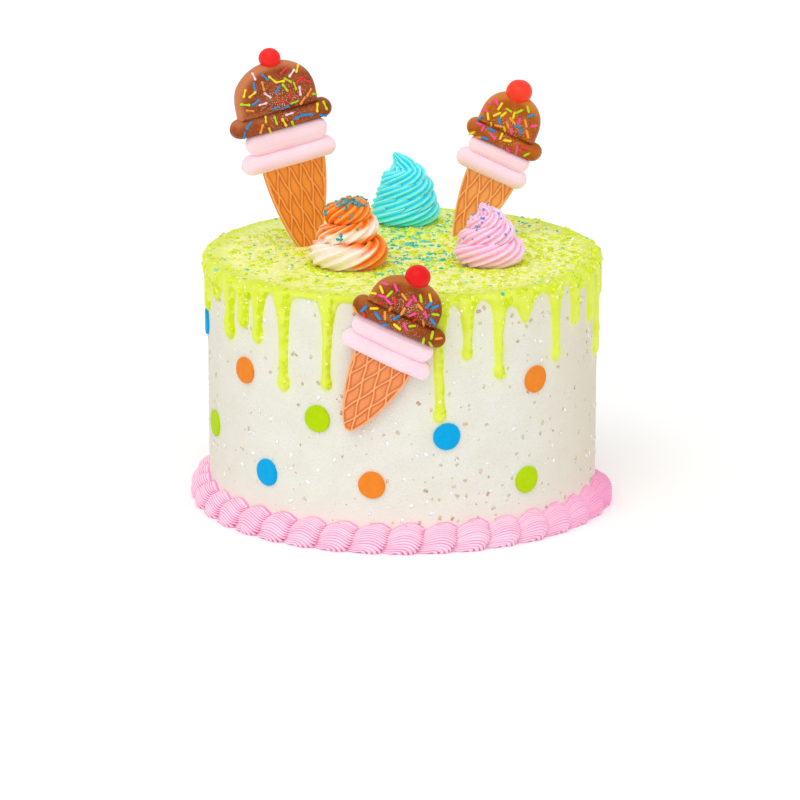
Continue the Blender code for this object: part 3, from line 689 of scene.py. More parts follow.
def make_lime_layer(finish):
    """The skirt and the top, closed by a skin inside the cake."""
    azimuths, heights = skirt_grid()
    thick, crust = skirt_thickness(azimuths, heights)
    across, up = np.meshgrid(azimuths, heights)
    outer_points = around(across, SIDE_RADIUS + thick * MM, up)
    inner_points = around(across, INNER_RADIUS, up)
    count = across.size
    outer = np.arange(count).reshape(across.shape)
    inner = outer + count
    points = [outer_points.reshape(-1, 3), inner_points.reshape(-1, 3)]
    crusts = [crust.ravel(), crust.ravel()]
    sugars = [side_sugar(up, thick, crust).ravel(), np.zeros(count)]
    faces = []
    add_cells(faces, kept_cells(thick), outer, inner)
    total = 2 * count
    below = outer[-1]
    for radius, height, steps, edge in top_rings():
        turns = np.arange(steps) * 360 / steps - 180
        reach = radius + edge * (thick[-1][::COLUMNS // steps] - SHOULDER_DEPTH) * MM
        ring = around(turns, reach, height)
        bumps = TOP_LUMPS * lumps(ring, 6 * MM, 8) + TOP_GRAIN * lumps(ring, 2.2 * MM, 9)
        ring[:, 2] += bumps * MM * (1 - edge)
        points.append(ring)
        crusts.append(np.clip(0.5 + 0.7 * lumps(ring, 12 * MM, 10) + 3 * ring[:, 0], 0, 1))
        sugars.append(np.full(steps, 1 - 0.75 * blend_in(86 * MM, 103 * MM, radius)))
        here = np.arange(total, total + steps)
        join_rings(faces, below, here)
        total += steps
        below = here
    points.append(np.array([[0, 0, LAYER_TOP], [0, 0, SHOULDER]]))
    crusts.append(np.array([0.5, 0.5]))
    sugars.append(np.array([1.0, 0.0]))
    for i in range(len(below)):
        faces.append((below[i], below[(i + 1) % len(below)], total))
    for j in range(COLUMNS):
        faces.append((inner[-1, j], total + 1, inner[-1, (j + 1) % COLUMNS]))
    flat = np.concatenate(points)
    used, faces = drop_unused(flat, faces)
    sugar = np.concatenate(sugars)[used]
    spots = flat[used]
    on_top = (spots[:, 2] > SHOULDER) * 1.0
    top = on_top * blend_in(106 * MM, 92 * MM, np.hypot(spots[:, 0], spots[:, 1]))
    marks = {"crust": np.concatenate(crusts)[used], "sugar": sugar, "top": top,
             "clumps": clump_share(spots, sugar, on_top), "teal": teal_drift(spots, on_top)}
    return make_piece("lime_layer", spots, faces, finish, marks)


# %% The lime finish
PALE_LIME = paint(230, 242, 100)
PALE_TOP = paint(250, 255, 164)
DEEP_LIME = paint(208, 229, 0)
lime_finish, tree, shader, place, colour = start_finish(
    "lime drip icing", PALE_LIME, paint(222, 237, 66), scale=160, edge=0.2, roughness=0.42, bump=0.12,
    shine=0.15)
colour = mix_colours(tree, mark_value(tree, "top"), colour, PALE_TOP)
colour = tint_in(tree, colour, mark_value(tree, "crust"), patch_mask(tree, place, 300.0, 0.07), DEEP_LIME)
tree.links.new(colour, shader.inputs["Base Color"])
lime_layer = make_lime_layer(lime_finish)
dress(lime_layer, "lime_icing", "drip_icing")

# %% [markdown]
# ## The white icing
# Icing smoothed with a scraper is nearly a cylinder: it wavers by a few tenths of a millimetre, and takes a
# little green from the drips beside it. Just above the pink border it is painted a light pink for the light
# that the border throws back onto it, and its sides away from the front are painted darker for shade.
# A turned grid carries both: its points are pushed inwards a little by noise, never outwards, because the
# dots and the drips rest on it, and marks on the points tell where the tints go and where flakes may lie.

# %% The white icing's mesh
ICING_COLUMNS = 480
ICING_ROWS = 100
ICING_WAVER = 0.28  # how far the side is pushed in, in millimetres
ICING_EDGE = 1.4 * MM  # how far its top edge is drawn in
HAZE_FADE = 2.6  # millimetres beside the lime over which its haze fades
HAZE_FROM = 55 * MM  # no drip hangs lower
BORDER_LIGHT_FADE = 6.0  # millimetres over which the painted pink light from the border fades upwards
BORDER_TOP = 12  # millimetres
CLEAR_OF_LIME = -0.6  # flakes lie at least this far outside the lime's outline, in millimetres


def icing_marks(across, up, surface, field):
    """Where the icing is tinted or flaked: by lime, painted border light, painted side shade, where bare."""
    haze = np.exp(np.minimum(field, 0) / HAZE_FADE) * (up > HAZE_FROM)
    # Painted light: the pink light that the border throws back onto the icing just above it.
    blush = np.exp(-np.clip(up / MM - BORDER_TOP, 0, None) / BORDER_LIGHT_FADE)
    bare = (field < CLEAR_OF_LIME) * (up > BORDER_TOP * MM) * 1.0
    behind = blend_in(-100, -176, across)
    flecks = np.maximum(blend_in(-60, 60, across), behind) * 0.5 + 0.4 + 0.5 * lumps(surface, 20 * MM, 22)
    # Painted shade: the sides away from the front, the right more than the left, turn a darker beige.
    warm = blend_in(30, 80, np.abs(across + 4)) * np.where(across > 0, 1.0, 0.5 + 0.5 * behind)
    return {"haze": haze, "warm": warm, "blush": blush, "bare": bare, "flecks": bare * flecks}


def make_white_icing(finish):
    """A closed cylinder that wavers. Its poles and top edge lie under other icing and have no marks."""
    azimuths = np.arange(ICING_COLUMNS) * 360 / ICING_COLUMNS - 180
    heights = np.linspace(0, BODY_HEIGHT - 0.4 * MM, ICING_ROWS)
    across, up = np.meshgrid(azimuths, heights)
    surface = around(across, SIDE_RADIUS, up)
    waver = 0.5 + 0.3 * lumps(surface, 24 * MM, 20) + 0.3 * lumps(surface, 5 * MM, 21)
    side = around(across, SIDE_RADIUS - ICING_WAVER * MM * np.clip(waver, 0, 1), up)
    rings = [np.array([[0, 0, 0.0]])] + list(side)
    rings.append(around(azimuths, SIDE_RADIUS - ICING_EDGE, BODY_HEIGHT))
    rings.append(np.array([[0, 0, BODY_HEIGHT]]))
    points, faces = skin(rings)
    edge = np.zeros(ICING_COLUMNS)
    marks = {}
    for label, values in icing_marks(across, up, surface, skirt_field(azimuths, heights)[0]).items():
        marks[label] = np.r_[0, values.ravel(), edge, 0]
    return make_piece("white_icing", points, faces, finish, marks)


# %% The white icing's finish
white_finish, tree, shader, place, colour = start_finish(
    "white icing", paint(238, 238, 229), paint(232, 231, 218), scale=70, edge=0.3, roughness=0.7,
    bump=0.34, coarse=620, fine=1700, fine_share=0.55, shine=0.12)
SAND, CRUMB, LIME_CRUMB = paint(214, 204, 186), paint(212, 194, 166), paint(190, 206, 90)
SHADED, LIME_HAZE, PAINTED_BORDER_LIGHT = paint(224, 214, 194), paint(238, 243, 190), paint(255, 238, 230)
# Painted shade on the sides, where the light falls off round the cake.
colour = tint_in(tree, colour, mark_value(tree, "warm"), 0.8, SHADED)
colour = tint_in(tree, colour, patch_mask(tree, place, 1500.0, 0.1), 0.22, SAND)
for scale, size, share, tint in ((900.0, 0.2, 0.07, CRUMB), (700.0, 0.16, 0.05, LIME_CRUMB)):
    colour = mix_colours(tree, speck_mask(tree, place, scale, size, share), colour, tint)
colour = tint_in(tree, colour, mark_value(tree, "haze"), 0.6, LIME_HAZE)
# Painted light from the pink border, just above it.
colour = tint_in(tree, colour, mark_value(tree, "blush"), 0.9, PAINTED_BORDER_LIGHT)
tree.links.new(colour, shader.inputs["Base Color"])
white_icing = make_white_icing(white_finish)
dress(white_icing, "white_icing", "cake")

# %% [markdown]
# ## The dots
# The dots are cut from rolled fondant with a round cutter and pressed on: flat faces, a soft edge and
# never quite round. Each is a disc of rings laid on the curved side, with its outline bent a little by a
# wave of its own. All dots of one colour are one piece.

# %% Dots
DOT_RADIUS = 7.3
DOT_DEPTH = 1.4
DOT_BACK = -0.5
DOT_STEPS = 48

# From the back to the face: share of the radius and depth over the icing
DOT_PROFILE = [(0.99, -0.5), (0.995, 0.2), (1.0, 0.7), (0.985, 1.1), (0.95, 1.3), (0.88, 1.38), (0.6, 1.4),
               (0.3, 1.4)]
DOT_COLOURS = {"blue": (paint(0, 172, 232), paint(0, 162, 224)),
               "orange": (paint(242, 140, 44), paint(236, 130, 36)),
               "lime": (paint(186, 220, 0), paint(176, 212, 0))}
DOT_SLOTS = {"blue": "blue_fondant", "orange": "orange_fondant", "lime": "lime_fondant"}


def dot_rings(azimuth, height, chance):
    """Rings of one dot from its back, under the icing, to the middle of its face."""
    turns = np.linspace(0, 2 * np.pi, DOT_STEPS, endpoint=False)
    phases = [chance.uniform(0, 6.3) for _ in range(3)]
    outline = 1 + 0.018 * np.sin(2 * turns + phases[0]) + 0.012 * np.sin(3 * turns + phases[1])
    outline = outline + 0.006 * np.sin(7 * turns + phases[2])
    rings = [around(np.array([azimuth]), SIDE_RADIUS + DOT_BACK * MM, np.array([height]))]
    for share, depth in DOT_PROFILE:
        reach = DOT_RADIUS * share * outline
        side = azimuth + reach * np.cos(turns) / MM_PER_DEGREE
        rings.append(around(side, SIDE_RADIUS + depth * MM, height + reach * np.sin(turns) * MM))
    rings.append(around(np.array([azimuth]), SIDE_RADIUS + DOT_DEPTH * MM, np.array([height])))
    return rings


def make_dots(colour):
    """All dots of a colour as one piece, which stands for as many solids."""
    chance = random.Random(3)
    points = []
    faces = []
    nodes = []
    for index, (dot_colour, azimuth, height) in enumerate(DOTS, 1):
        if dot_colour == colour:
            new_points, new_faces = skin(dot_rings(azimuth, height * MM, chance))
            faces += [tuple(corner + len(points) for corner in face) for face in new_faces]
            points += new_points
            nodes.append("dot_%02d" % index)
    light, deep = DOT_COLOURS[colour]
    finish = plain_finish(colour + " fondant", light, deep, scale=300, roughness=0.6, bump=0.05,
                          coarse=600, fine=2600, shine=0.1)
    dress(make_piece("dots_" + colour, points, faces, finish), DOT_SLOTS[colour], *nodes)


for colour in DOT_COLOURS:
    make_dots(colour)

# %% [markdown]
# ## The shell border
# A shell is piped with a star tube from a thin tail on the left: the icing swells, is pressed down at the
# right and cut off there, and the tail of the next shell starts under it. The grooves of the tube fan out
# from the tail and end all round the head, at its foot, at the right and against the cake, where they
# leave a row of small teeth. One shell is laid out as such a fan of strands in the plane of the cake's side
# and then bulged, because a plain bent rope has its grooves run along the edge of the head and not out
# over it. Geometry Nodes set four kinds of it round the cake by turns, smaller where the ring was closed.


# %% One shell
def smooth_line(places, count):
    """Points on a smooth line through the places, spaced evenly by share."""
    places = np.array(places, float)
    ends = np.vstack([2 * places[0] - places[1], places, 2 * places[-1] - places[-2]])
    line = []
    for share in np.linspace(0, len(places) - 1, count):
        index = min(int(share), len(places) - 2)
        t = share - index
        a, b, c, d = ends[index:index + 4]
        line.append(0.5 * (2 * b + (c - a) * t + (2 * a - 5 * b + 4 * c - d) * t ** 2
                           + (3 * b - a - 3 * c + d) * t ** 3))
    return np.array(line)


# Lengths in millimetres
SHELLS = 38
SHELL_RIDGES = 14
RIDGE_POINTS = 5
RIDGE_DEPTH = 0.5
RIDGE_SPREAD = (0.65, 1.2)  # shares of that depth, drawn for each groove
SHELL_ROWS = 24
SHELL_HEIGHT = 14.2
SHELL_REACH = 10.9
WIDEST_AT = 4.0  # height at which a shell stands out furthest
HEAD_FROM = 7.5  # where along the side its head starts to round off
FOOT_SPREAD = 2.4  # how far the icing spreads at its foot
STRANDS_FROM = -1.0  # where along the side the strands fan out
TAIL_ROWS = [(-8.5, 0.75), (-4.5, 0.9)]  # place along the side and share of the height
LOW_SHARE = 0.2  # share of the strands that start under the widest height
LOWEST_START = 0.3

# Where the strands end, from the foremost at the foot to the last against the cake: place along the side,
# height as if the shell were as high all along, and slant in degrees
STRAND_ENDS = [(3.6, 0, -80), (7.8, 0, -86), (11.6, 0, -82), (14.6, 1.0, -66), (16.8, 3.2, -48),
               (18.0, 6.0, -30), (18.3, 8.6, -16), (18.4, 10.8, -8), (18.4, 12.4, -2), (18.2, 13.5, 0),
               (17.6, 14.2, 0)]


def shell_height(x):
    """Height of the shell against the cake, from its tail to its head."""
    return SHELL_HEIGHT * (0.4 + 0.6 * blend_in(-12, 11, x) - 0.2 * blend_in(12.5, 18.5, x))


def shell_reach(x, z):
    """How far the shell stands out from the cake."""
    over = np.clip((z - WIDEST_AT) / (shell_height(x) - WIDEST_AT), 0, 1)
    section = np.sqrt(1 - over ** 2) * (1 - 0.1 * np.clip(1 - z / WIDEST_AT, 0, 1) ** 2)
    head_end = 15.0 + 3.4 * blend_in(0, 7, z)
    head = (1 - np.clip((x - HEAD_FROM) / (head_end - HEAD_FROM), 0, 1) ** 2.8) ** 0.45
    foot = FOOT_SPREAD * blend_in(FOOT_SPREAD, 0, z) * blend_in(6, 0, x) * blend_in(-9, -4, x)
    return SHELL_REACH * section * head * (0.3 + 0.7 * blend_in(-9, 9, x)) + foot


def strand_rows(share, steps):
    """Places of the strands in the plane of the side: rows of x and z, first the tail, then the fan."""
    count = len(share)
    end_x, end_z, end_slant = smooth_line(STRAND_ENDS, count).T
    last = np.stack([end_x, np.clip(end_z, 0, SHELL_HEIGHT)])
    turn = np.clip((share - LOW_SHARE) / (1 - LOW_SHARE), 0, 1) * np.pi / 2
    over = WIDEST_AT + (SHELL_HEIGHT - WIDEST_AT) * np.sin(turn)
    under = LOWEST_START + share / LOW_SHARE * (WIDEST_AT - LOWEST_START)
    start_z = np.where(share < LOW_SHARE, under, over)
    first = np.stack([np.full(count, STRANDS_FROM), start_z])
    start_slant = np.radians(14 * np.sin(share * np.pi))
    end_slant = np.radians(end_slant)
    length = np.hypot(*(last - first))
    near = first + 0.5 * length * np.stack([np.cos(start_slant), np.sin(start_slant)])
    far = last - 0.42 * length * np.stack([np.cos(end_slant), np.sin(end_slant)])
    rows = [np.stack([np.full(count, x), start_z * z_share]) for x, z_share in TAIL_ROWS]
    for t in steps:
        left = 1 - t
        rows.append(left ** 3 * first + 3 * left ** 2 * t * near + 3 * left * t ** 2 * far + t ** 3 * last)
    return np.array(rows)


def with_back(grid):
    """The shell's grid with a row at its top, and two at its foot, behind the cake's side."""
    back = []
    for along, up in ((grid[:, -1, 0], grid[:, -1, 2]), (grid[:, -1, 0], 0.0), (grid[:, 0, 0], 0.0)):
        back.append(np.stack(np.broadcast_arrays(along, -1.5, up), axis=-1))
    rings = np.concatenate([grid, np.stack(back, axis=1)], axis=1)
    rings[:, :, 2] = np.maximum(rings[:, :, 2], 0)
    return rings


def shell_points(seed):
    """Rings of one shell, in millimetres: x along the cake's side, leftwards, y out from it, z up.

    Its marks, the depth of the grooves and the pits between the teeth of its head, place painted shade."""
    chance = random.Random(seed)
    share = np.linspace(0, 1, SHELL_RIDGES * RIDGE_POINTS + 1)
    depths = [chance.uniform(*RIDGE_SPREAD) for _ in range(SHELL_RIDGES + 1)]
    depth = np.interp(share * SHELL_RIDGES, range(SHELL_RIDGES + 1), depths)
    ridge = np.abs(np.sin(share * SHELL_RIDGES * np.pi)) ** 0.8
    steps = np.sin(np.linspace(0, np.pi / 2, SHELL_ROWS))
    rows = strand_rows(share, steps)
    x = rows[:, 0]
    z = rows[:, 1] * shell_height(x) / SHELL_HEIGHT
    grid = np.stack([x, shell_reach(x, z), z], axis=-1)
    normal = np.cross(np.gradient(grid, axis=0), np.gradient(grid, axis=1))
    normal /= np.linalg.norm(normal, axis=2)[:, :, None] + 1e-9
    normal *= np.where(normal[:, :, 1:2] < -0.2, -1, 1)
    grown = np.r_[0.6, 0.7, 0.75 + 0.25 * blend_in(0, 0.3, steps) + 0.6 * blend_in(0.8, 1, steps)]
    sunk = RIDGE_DEPTH * grown[:, None] * depth * (1 - ridge)
    rings = with_back(grid - normal * sunk[:, :, None])
    angle = rings[:, :, 0] / SIDE_RADIUS_MM
    radius = SIDE_RADIUS_MM + rings[:, :, 1]
    rings = np.stack([-radius * np.sin(angle), radius * np.cos(angle) - SIDE_RADIUS_MM, rings[:, :, 2]],
                     axis=-1)
    groove = (1 - ridge) * depth * grown[:, None] / RIDGE_SPREAD[1]
    pit = (1 - ridge) * np.r_[0, 0, blend_in(0.75, 1, steps)][:, None] * blend_in(1, 0.85, share)
    hidden = np.ones((len(rings), 3))
    groove = np.concatenate([groove, hidden], axis=1)
    pit = np.concatenate([pit, hidden], axis=1)
    caps = [rings[0].mean(0)[None, :], rings[-1].mean(0)[None, :] * [1, 1, 0]]
    marks = {"groove": np.r_[1, groove.ravel(), 1], "pit": np.r_[1, pit.ravel(), 1]}
    return [caps[0], *rings, caps[1]], marks


shell_finish, tree, shader, place, colour = start_finish(
    "pink border icing", paint(255, 224, 240), paint(255, 214, 234), scale=150, roughness=0.5, bump=0.08,
    coarse=500, fine=2200)
# Painted shade: deeper pink in the grooves, magenta in the pits, and deeper pink towards the right side.
groove_shaded = mix_colours(tree, stretch(tree, mark_value(tree, "groove"), 0.0, 0.8), colour, paint(252, 146, 198))
pit_shaded = mix_colours(tree, stretch(tree, mark_value(tree, "pit"), 0.3, 0.9), groove_shaded, paint(240, 60, 130))
axes = node(tree, "ShaderNodeSeparateXYZ", None, {"Vector": place})
right_shade_share = stretch(tree, axes.outputs["X"], 0.04, 0.115, 0.6)
right_shaded = mix_colours(tree, right_shade_share, pit_shaded, paint(255, 176, 214))
far_right_shade_share = stretch(tree, axes.outputs["X"], 0.09, 0.116, 0.6)
tree.links.new(mix_colours(tree, far_right_shade_share, right_shaded, paint(255, 150, 204)), shader.inputs["Base Color"])
kinds = bpy.data.collections.new("shell kinds")
bpy.context.scene.collection.children.link(kinds)
for seed in range(1, 5):
    rings, marks = shell_points(seed)
    points, faces = skin([ring * MM for ring in rings])
    kind = make_piece("shell_kind_" + str(seed), points, faces, shell_finish, marks)
    bpy.context.scene.collection.objects.unlink(kind)
    kinds.objects.link(kind)
print("one shell:", len(faces), "faces")


# %% Geometry Nodes helpers
def run_tree(name, host_mesh, tree, values, finish):
    """Runs a geometry node tree over a mesh and keeps its result as a plain mesh object."""
    carrier = bpy.data.objects.new(name, host_mesh)
    bpy.context.scene.collection.objects.link(carrier)
    step = carrier.modifiers.new("grow", "NODES")
    step.node_group = tree
    for item in tree.interface.items_tree:
        if item.in_out == "INPUT" and item.name in values:
            step[item.identifier] = values[item.name]
    bpy.context.view_layer.update()
    graph = bpy.context.evaluated_depsgraph_get()
    mesh = bpy.data.meshes.new_from_object(carrier.evaluated_get(graph))
    mesh.name = name
    bpy.data.objects.remove(carrier)
    made = bpy.data.objects.new(name, mesh)
    bpy.context.scene.collection.objects.link(made)
    if not mesh.materials:
        mesh.materials.append(finish)
    return made


GEOMETRY = "NodeSocketGeometry"
COUNT = "NodeSocketInt"
MATERIAL = "NodeSocketMaterial"
OBJECT = "NodeSocketObject"
COLLECTION = "NodeSocketCollection"


def end_tree(tree, geometry, given, ends_out):
    """Realizes the instances and sets the finish, as the last two nodes of every tree."""
    real = node(tree, "GeometryNodeRealizeInstances", None, {"Geometry": geometry})
    painted = node(tree, "GeometryNodeSetMaterial", None,
                   {"Geometry": real.outputs[0], "Material": given["Finish"]})
    tree.links.new(painted.outputs[0], ends_out.inputs["Geometry"])


# %% The tree that rings the cake with shells
RING, given, ends_out = start_group(
    "Ring of shells", "GeometryNodeTree",
    {"Geometry": (GEOMETRY, None), "Shells": (COUNT, SHELLS), "Radius": (VALUE, SIDE_RADIUS),
     "Kinds": (COLLECTION, None), "Start": (VALUE, 0.0), "Seam": (VALUE, 0.0), "Seam Reach": (VALUE, 0.3),
     "Seam Size": (VALUE, 0.4), "Unevenness": (VALUE, 0.05), "Seed": (COUNT, 1), "Finish": (MATERIAL, None)},
    {"Geometry": (GEOMETRY, None)})
circle = node(RING, "GeometryNodeMeshCircle", None, {"Vertices": given["Shells"], "Radius": given["Radius"]})
turned_by = node(RING, "ShaderNodeCombineXYZ", None, {"Z": given["Start"]})
laid = node(RING, "GeometryNodeTransform", None,
            {"Geometry": circle.outputs[0], "Rotation": turned_by.outputs[0]})
shapes = node(RING, "GeometryNodeCollectionInfo", None,
              {"Collection": given["Kinds"], "Separate Children": True, "Reset Children": True})
number = node(RING, "GeometryNodeInputIndex").outputs[0]
pitch = calculate(RING, "DIVIDE", math.tau, given["Shells"])
angle = calculate(RING, "ADD", calculate(RING, "MULTIPLY", number, pitch), given["Start"])
turned = node(RING, "ShaderNodeCombineXYZ", None, {"Z": calculate(RING, "SUBTRACT", angle, math.pi / 2)})
past_seam = calculate(RING, "WRAP", calculate(RING, "SUBTRACT", angle, given["Seam"]), math.pi, -math.pi)
off_seam = calculate(RING, "ABSOLUTE", past_seam)
full = node(RING, "ShaderNodeMapRange", None,
            {"Value": off_seam, "From Max": given["Seam Reach"], "To Min": given["Seam Size"]})
sized = node(RING, "FunctionNodeRandomValue", {"data_type": "FLOAT"},
             {2: calculate(RING, "SUBTRACT", 1.0, given["Unevenness"]),
              3: calculate(RING, "ADD", 1.0, given["Unevenness"]), "Seed": given["Seed"]})
size = calculate(RING, "MULTIPLY", full.outputs[0], sized.outputs[1])
scaled = node(RING, "ShaderNodeCombineXYZ", None, {"X": 1.0, "Y": size, "Z": size})
placed = node(RING, "GeometryNodeInstanceOnPoints", None,
              {"Points": laid.outputs[0], "Instance": shapes.outputs[0], "Pick Instance": True,
               "Instance Index": number, "Rotation": turned.outputs[0], "Scale": scaled.outputs[0]})
end_tree(RING, placed.outputs[0], given, ends_out)

# %% The border
# Azimuths in degrees
SHELL_START = -3.5
SEAM = 97  # where the ring was closed, with smaller shells
SEAM_REACH = 20
SEAM_SIZE = 0.42  # the smallest shell, as a share of the others
border = run_tree("shell_ring", bpy.data.meshes.new("ring"), RING,
                  {"Shells": SHELLS, "Radius": SIDE_RADIUS, "Kinds": kinds,
                   "Start": math.radians(SHELL_START - 90), "Seam": math.radians(SEAM - 90),
                   "Seam Reach": math.radians(SEAM_REACH), "Seam Size": SEAM_SIZE,
                   "Unevenness": 0.03, "Seed": 4, "Finish": shell_finish}, shell_finish)
for kind in list(kinds.objects):
    bpy.data.objects.remove(kind)
bpy.data.collections.remove(kinds)
dress(border, "border_icing", "shell_border")
print("the border:", len(border.data.polygons), "faces")

# %% [markdown]
# ## The piped swirls
# A swirl is one rope of star-shaped icing laid in coils that climb to a tip. Each lip of the star runs
# round the rope as the hand turns, which is why the lips lean to the right from the front. Sweeping a star
# along a helix whose radius, height and thickness change together gives coils, lips and tip at once; a
# lathe would give rings, and twisting one cone would lose the steps between the coils.

# %% A rope laid in coils
# Lengths in millimetres
ROPE_ROWS = 300
LIP_POINTS = 8
ROUGHNESS = 0.4  # how far the icing is lifted and sunk all over
TEAR_SIZE = 2.2
FLAT_COILS = 1.15  # turns of the rope that are pressed flat on the layer
ROPE_LIFT = 0.1  # how far the rope lies over the layer's own lumps
BAND_LEVEL = 18.4  # of the cream band, in front
BAND_CLIMB = 0.052  # in each degree to the right
CROWN_LEVELS = (32, 35)  # the crown's sugar sets in between these
SPARSE_FROM = 18  # and single grains lie above this


def star(turns, lips, depth, fullness):
    """Radius of a star as a share, with thin lips at a low fullness and broad ones at a high one."""
    return 1 - depth * np.abs(np.sin(turns * lips / 2)) ** fullness


def cream_share(spots, hollow):
    """How creamy a two-coloured swirl is at each point: at its foot, in a rising band and on its lips."""
    azimuth = np.degrees(np.arctan2(spots[:, 0], -spots[:, 1])) + 9 * lumps(spots, 5.0, 6)
    level = spots[:, 2]
    ragged = 26 * (0.5 - hollow)
    foot = blend_in(16, -10, azimuth - 2.9 * level - ragged) * blend_in(14.6, 12.4, level + 0.03 * azimuth)
    foot = foot * np.maximum(blend_in(-92, -72, azimuth), blend_in(9, 6, level))
    off_band = level - BAND_LEVEL - BAND_CLIMB * azimuth + 0.7 * (hollow - 0.5)
    rising = blend_in(3.6, 2.0, np.abs(off_band)) * blend_in(-66, -40, azimuth)
    lips = blend_in(0.25, 0.05, hollow) * blend_in(25, 22, level) * (azimuth < 10) * 0.7
    behind = (np.abs(azimuth) > 130) * blend_in(12, 10, level)
    return np.maximum.reduce([foot, rising, lips, behind])


def rope_frames(coils, path, level, start, tip_shift):
    """The rope's middle, and two directions across it, at each of its rows."""
    turn = np.radians(start) + coils * 2 * np.pi
    shift = tip_shift * blend_in(0.7, 1.0, level / level.max()) ** 2
    middle = np.stack([path * np.sin(turn) + shift, -path * np.cos(turn), level], axis=-1)
    out = np.stack([np.sin(turn), -np.cos(turn), np.zeros(ROPE_ROWS)], axis=-1)
    along = np.gradient(middle, axis=0) + 0.02 * np.stack([np.cos(turn), np.sin(turn), turn * 0], axis=-1)
    along /= np.linalg.norm(along, axis=1)[:, None]
    out -= along * np.sum(out * along, axis=1)[:, None]
    out /= np.linalg.norm(out, axis=1)[:, None]
    return middle, out, np.cross(out, along)


def press_down(ring, middle_level, radius, coil):
    """Flattens the underside of the first coils onto the layer."""
    if coil < FLAT_COILS:
        low = ring[:, 2] < middle_level
        drop = max(1, middle_level / radius) if coil < 1 else 1 + (FLAT_COILS - coil) * 2
        ring[low, 2] = middle_level + (ring[low, 2] - middle_level) * drop
    ring[:, 2] = np.maximum(ring[:, 2], 0)
    return ring


def swirl_marks(spots, hollow, seed):
    """Where a swirl is creamy and hollow, and how densely its crown and its side are sugared."""
    azimuth = np.degrees(np.arctan2(spots[:, 0], -spots[:, 1]))
    level = spots[:, 2]
    patchy = blend_in(-0.15, 0.3, lumps(spots, 4.0, seed + 30))
    crown = blend_in(*CROWN_LEVELS, level) * (0.3 + 0.7 * patchy)
    crown = crown + 0.12 * patchy * (level > SPARSE_FROM) * (azimuth < 20)
    in_front = (azimuth > -120) * (azimuth < 100) * (0.15 + 0.85 * (azimuth < -12))
    side = blend_in(12, 18, level) * in_front * patchy
    return {"cream": cream_share(spots, hollow), "hollow": hollow, "crown": crown, "side": side}


def make_swirl(colour, stations, twist, start, tip_shift, finish, seed, lips=10, depth=0.27, fullness=1.0):
    """Stations are turns from the foot, distance from the middle, rope radius and level, in mm."""
    coils, path, radius, level = smooth_line(stations, ROPE_ROWS).T
    middle, out, over = rope_frames(coils, np.maximum(path, 0), level, start, tip_shift)
    angles = np.linspace(0, 2 * np.pi, lips * LIP_POINTS, endpoint=False)
    section = star(angles, lips, depth, fullness)
    tears = np.stack([np.cos(angles), np.sin(angles), angles * 0], axis=-1) * TEAR_SIZE
    rings = []
    for i in range(ROPE_ROWS):
        spun = angles + twist * coils[i] * 2 * np.pi
        spot = tears + [0, 0, coils[i] * 5]
        torn = 1 - (1 - section) * (0.95 + 0.9 * lumps(spot, 1.8, seed + 25))
        torn = torn * (1 + 0.12 * lumps(spot, 1.0, seed + 20))
        ring = middle[i] + radius[i] * torn[:, None] * (
            np.cos(spun)[:, None] * out[i] + np.sin(spun)[:, None] * over[i])
        ring = ring + ROUGHNESS * lumps(ring, 2.4, seed)[:, None] * out[i]
        rings.append(press_down(ring, middle[i, 2], radius[i], coils[i]))
    rings = [rings[0].mean(0)[None, :]] + rings + [rings[-1].mean(0)[None, :]]
    offset = np.array([*SWIRL_PLACES[colour], LAYER_TOP / MM + ROPE_LIFT])
    points, faces = skin([(ring + offset) * MM for ring in rings])
    hollow = np.r_[1, np.tile((1 - section) / depth, ROPE_ROWS), 1]
    marks = swirl_marks(np.concatenate(rings), hollow, seed)
    return make_piece(colour + "_swirl", points, faces, finish, marks)


# %% The swirls' finishes
def piped_finish(name, light, body, deep, soft_colour, glow=0.07):
    """Icing with painted highlights on its thin lips and painted shade deepening in its hollows, and its lip
    mask.
    """
    made, tree, shader, _, colour = start_finish(
        name, body, body, scale=160, edge=0.3, roughness=0.42, bump=0.1, coarse=700, fine=2400,
        soft=0.6, soft_colour=soft_colour, glow=glow)
    # Painted highlight on the lips and painted shade in the hollows, by the depth of each point.
    lip = stretch(tree, mark_value(tree, "hollow"), 0.0, 0.45)
    sunk = stretch(tree, mark_value(tree, "hollow"), 0.62, 1.0)
    lip_highlighted = mix_colours(tree, lip, light, colour)
    tree.links.new(mix_colours(tree, sunk, lip_highlighted, deep), shader.inputs["Base Color"])
    return made, tree, shader, lip


teal_finish = piped_finish("teal icing", paint(188, 255, 255), paint(96, 246, 255), paint(30, 210, 232),
                           (0.3, 0.8, 0.8))[0]
rose_finish = piped_finish("rose icing", paint(255, 230, 238), paint(255, 208, 230), paint(255, 164, 206),
                           (1.0, 0.5, 0.6))[0]
two_tone_finish, tree, shader, lip = piped_finish(
    "orange and cream icing", paint(255, 178, 92), paint(255, 138, 38), paint(255, 98, 4), (1.0, 0.6, 0.4),
    glow=0.04)
orange = shader.inputs["Base Color"].links[0].from_socket
# Painted highlight: the cream is paler on its lips.
pale = mix_colours(tree, lip, paint(255, 247, 238), paint(255, 235, 219))
creamed = mix_colours(tree, mark_value(tree, "cream"), orange, pale)
tree.links.new(creamed, shader.inputs["Base Color"])

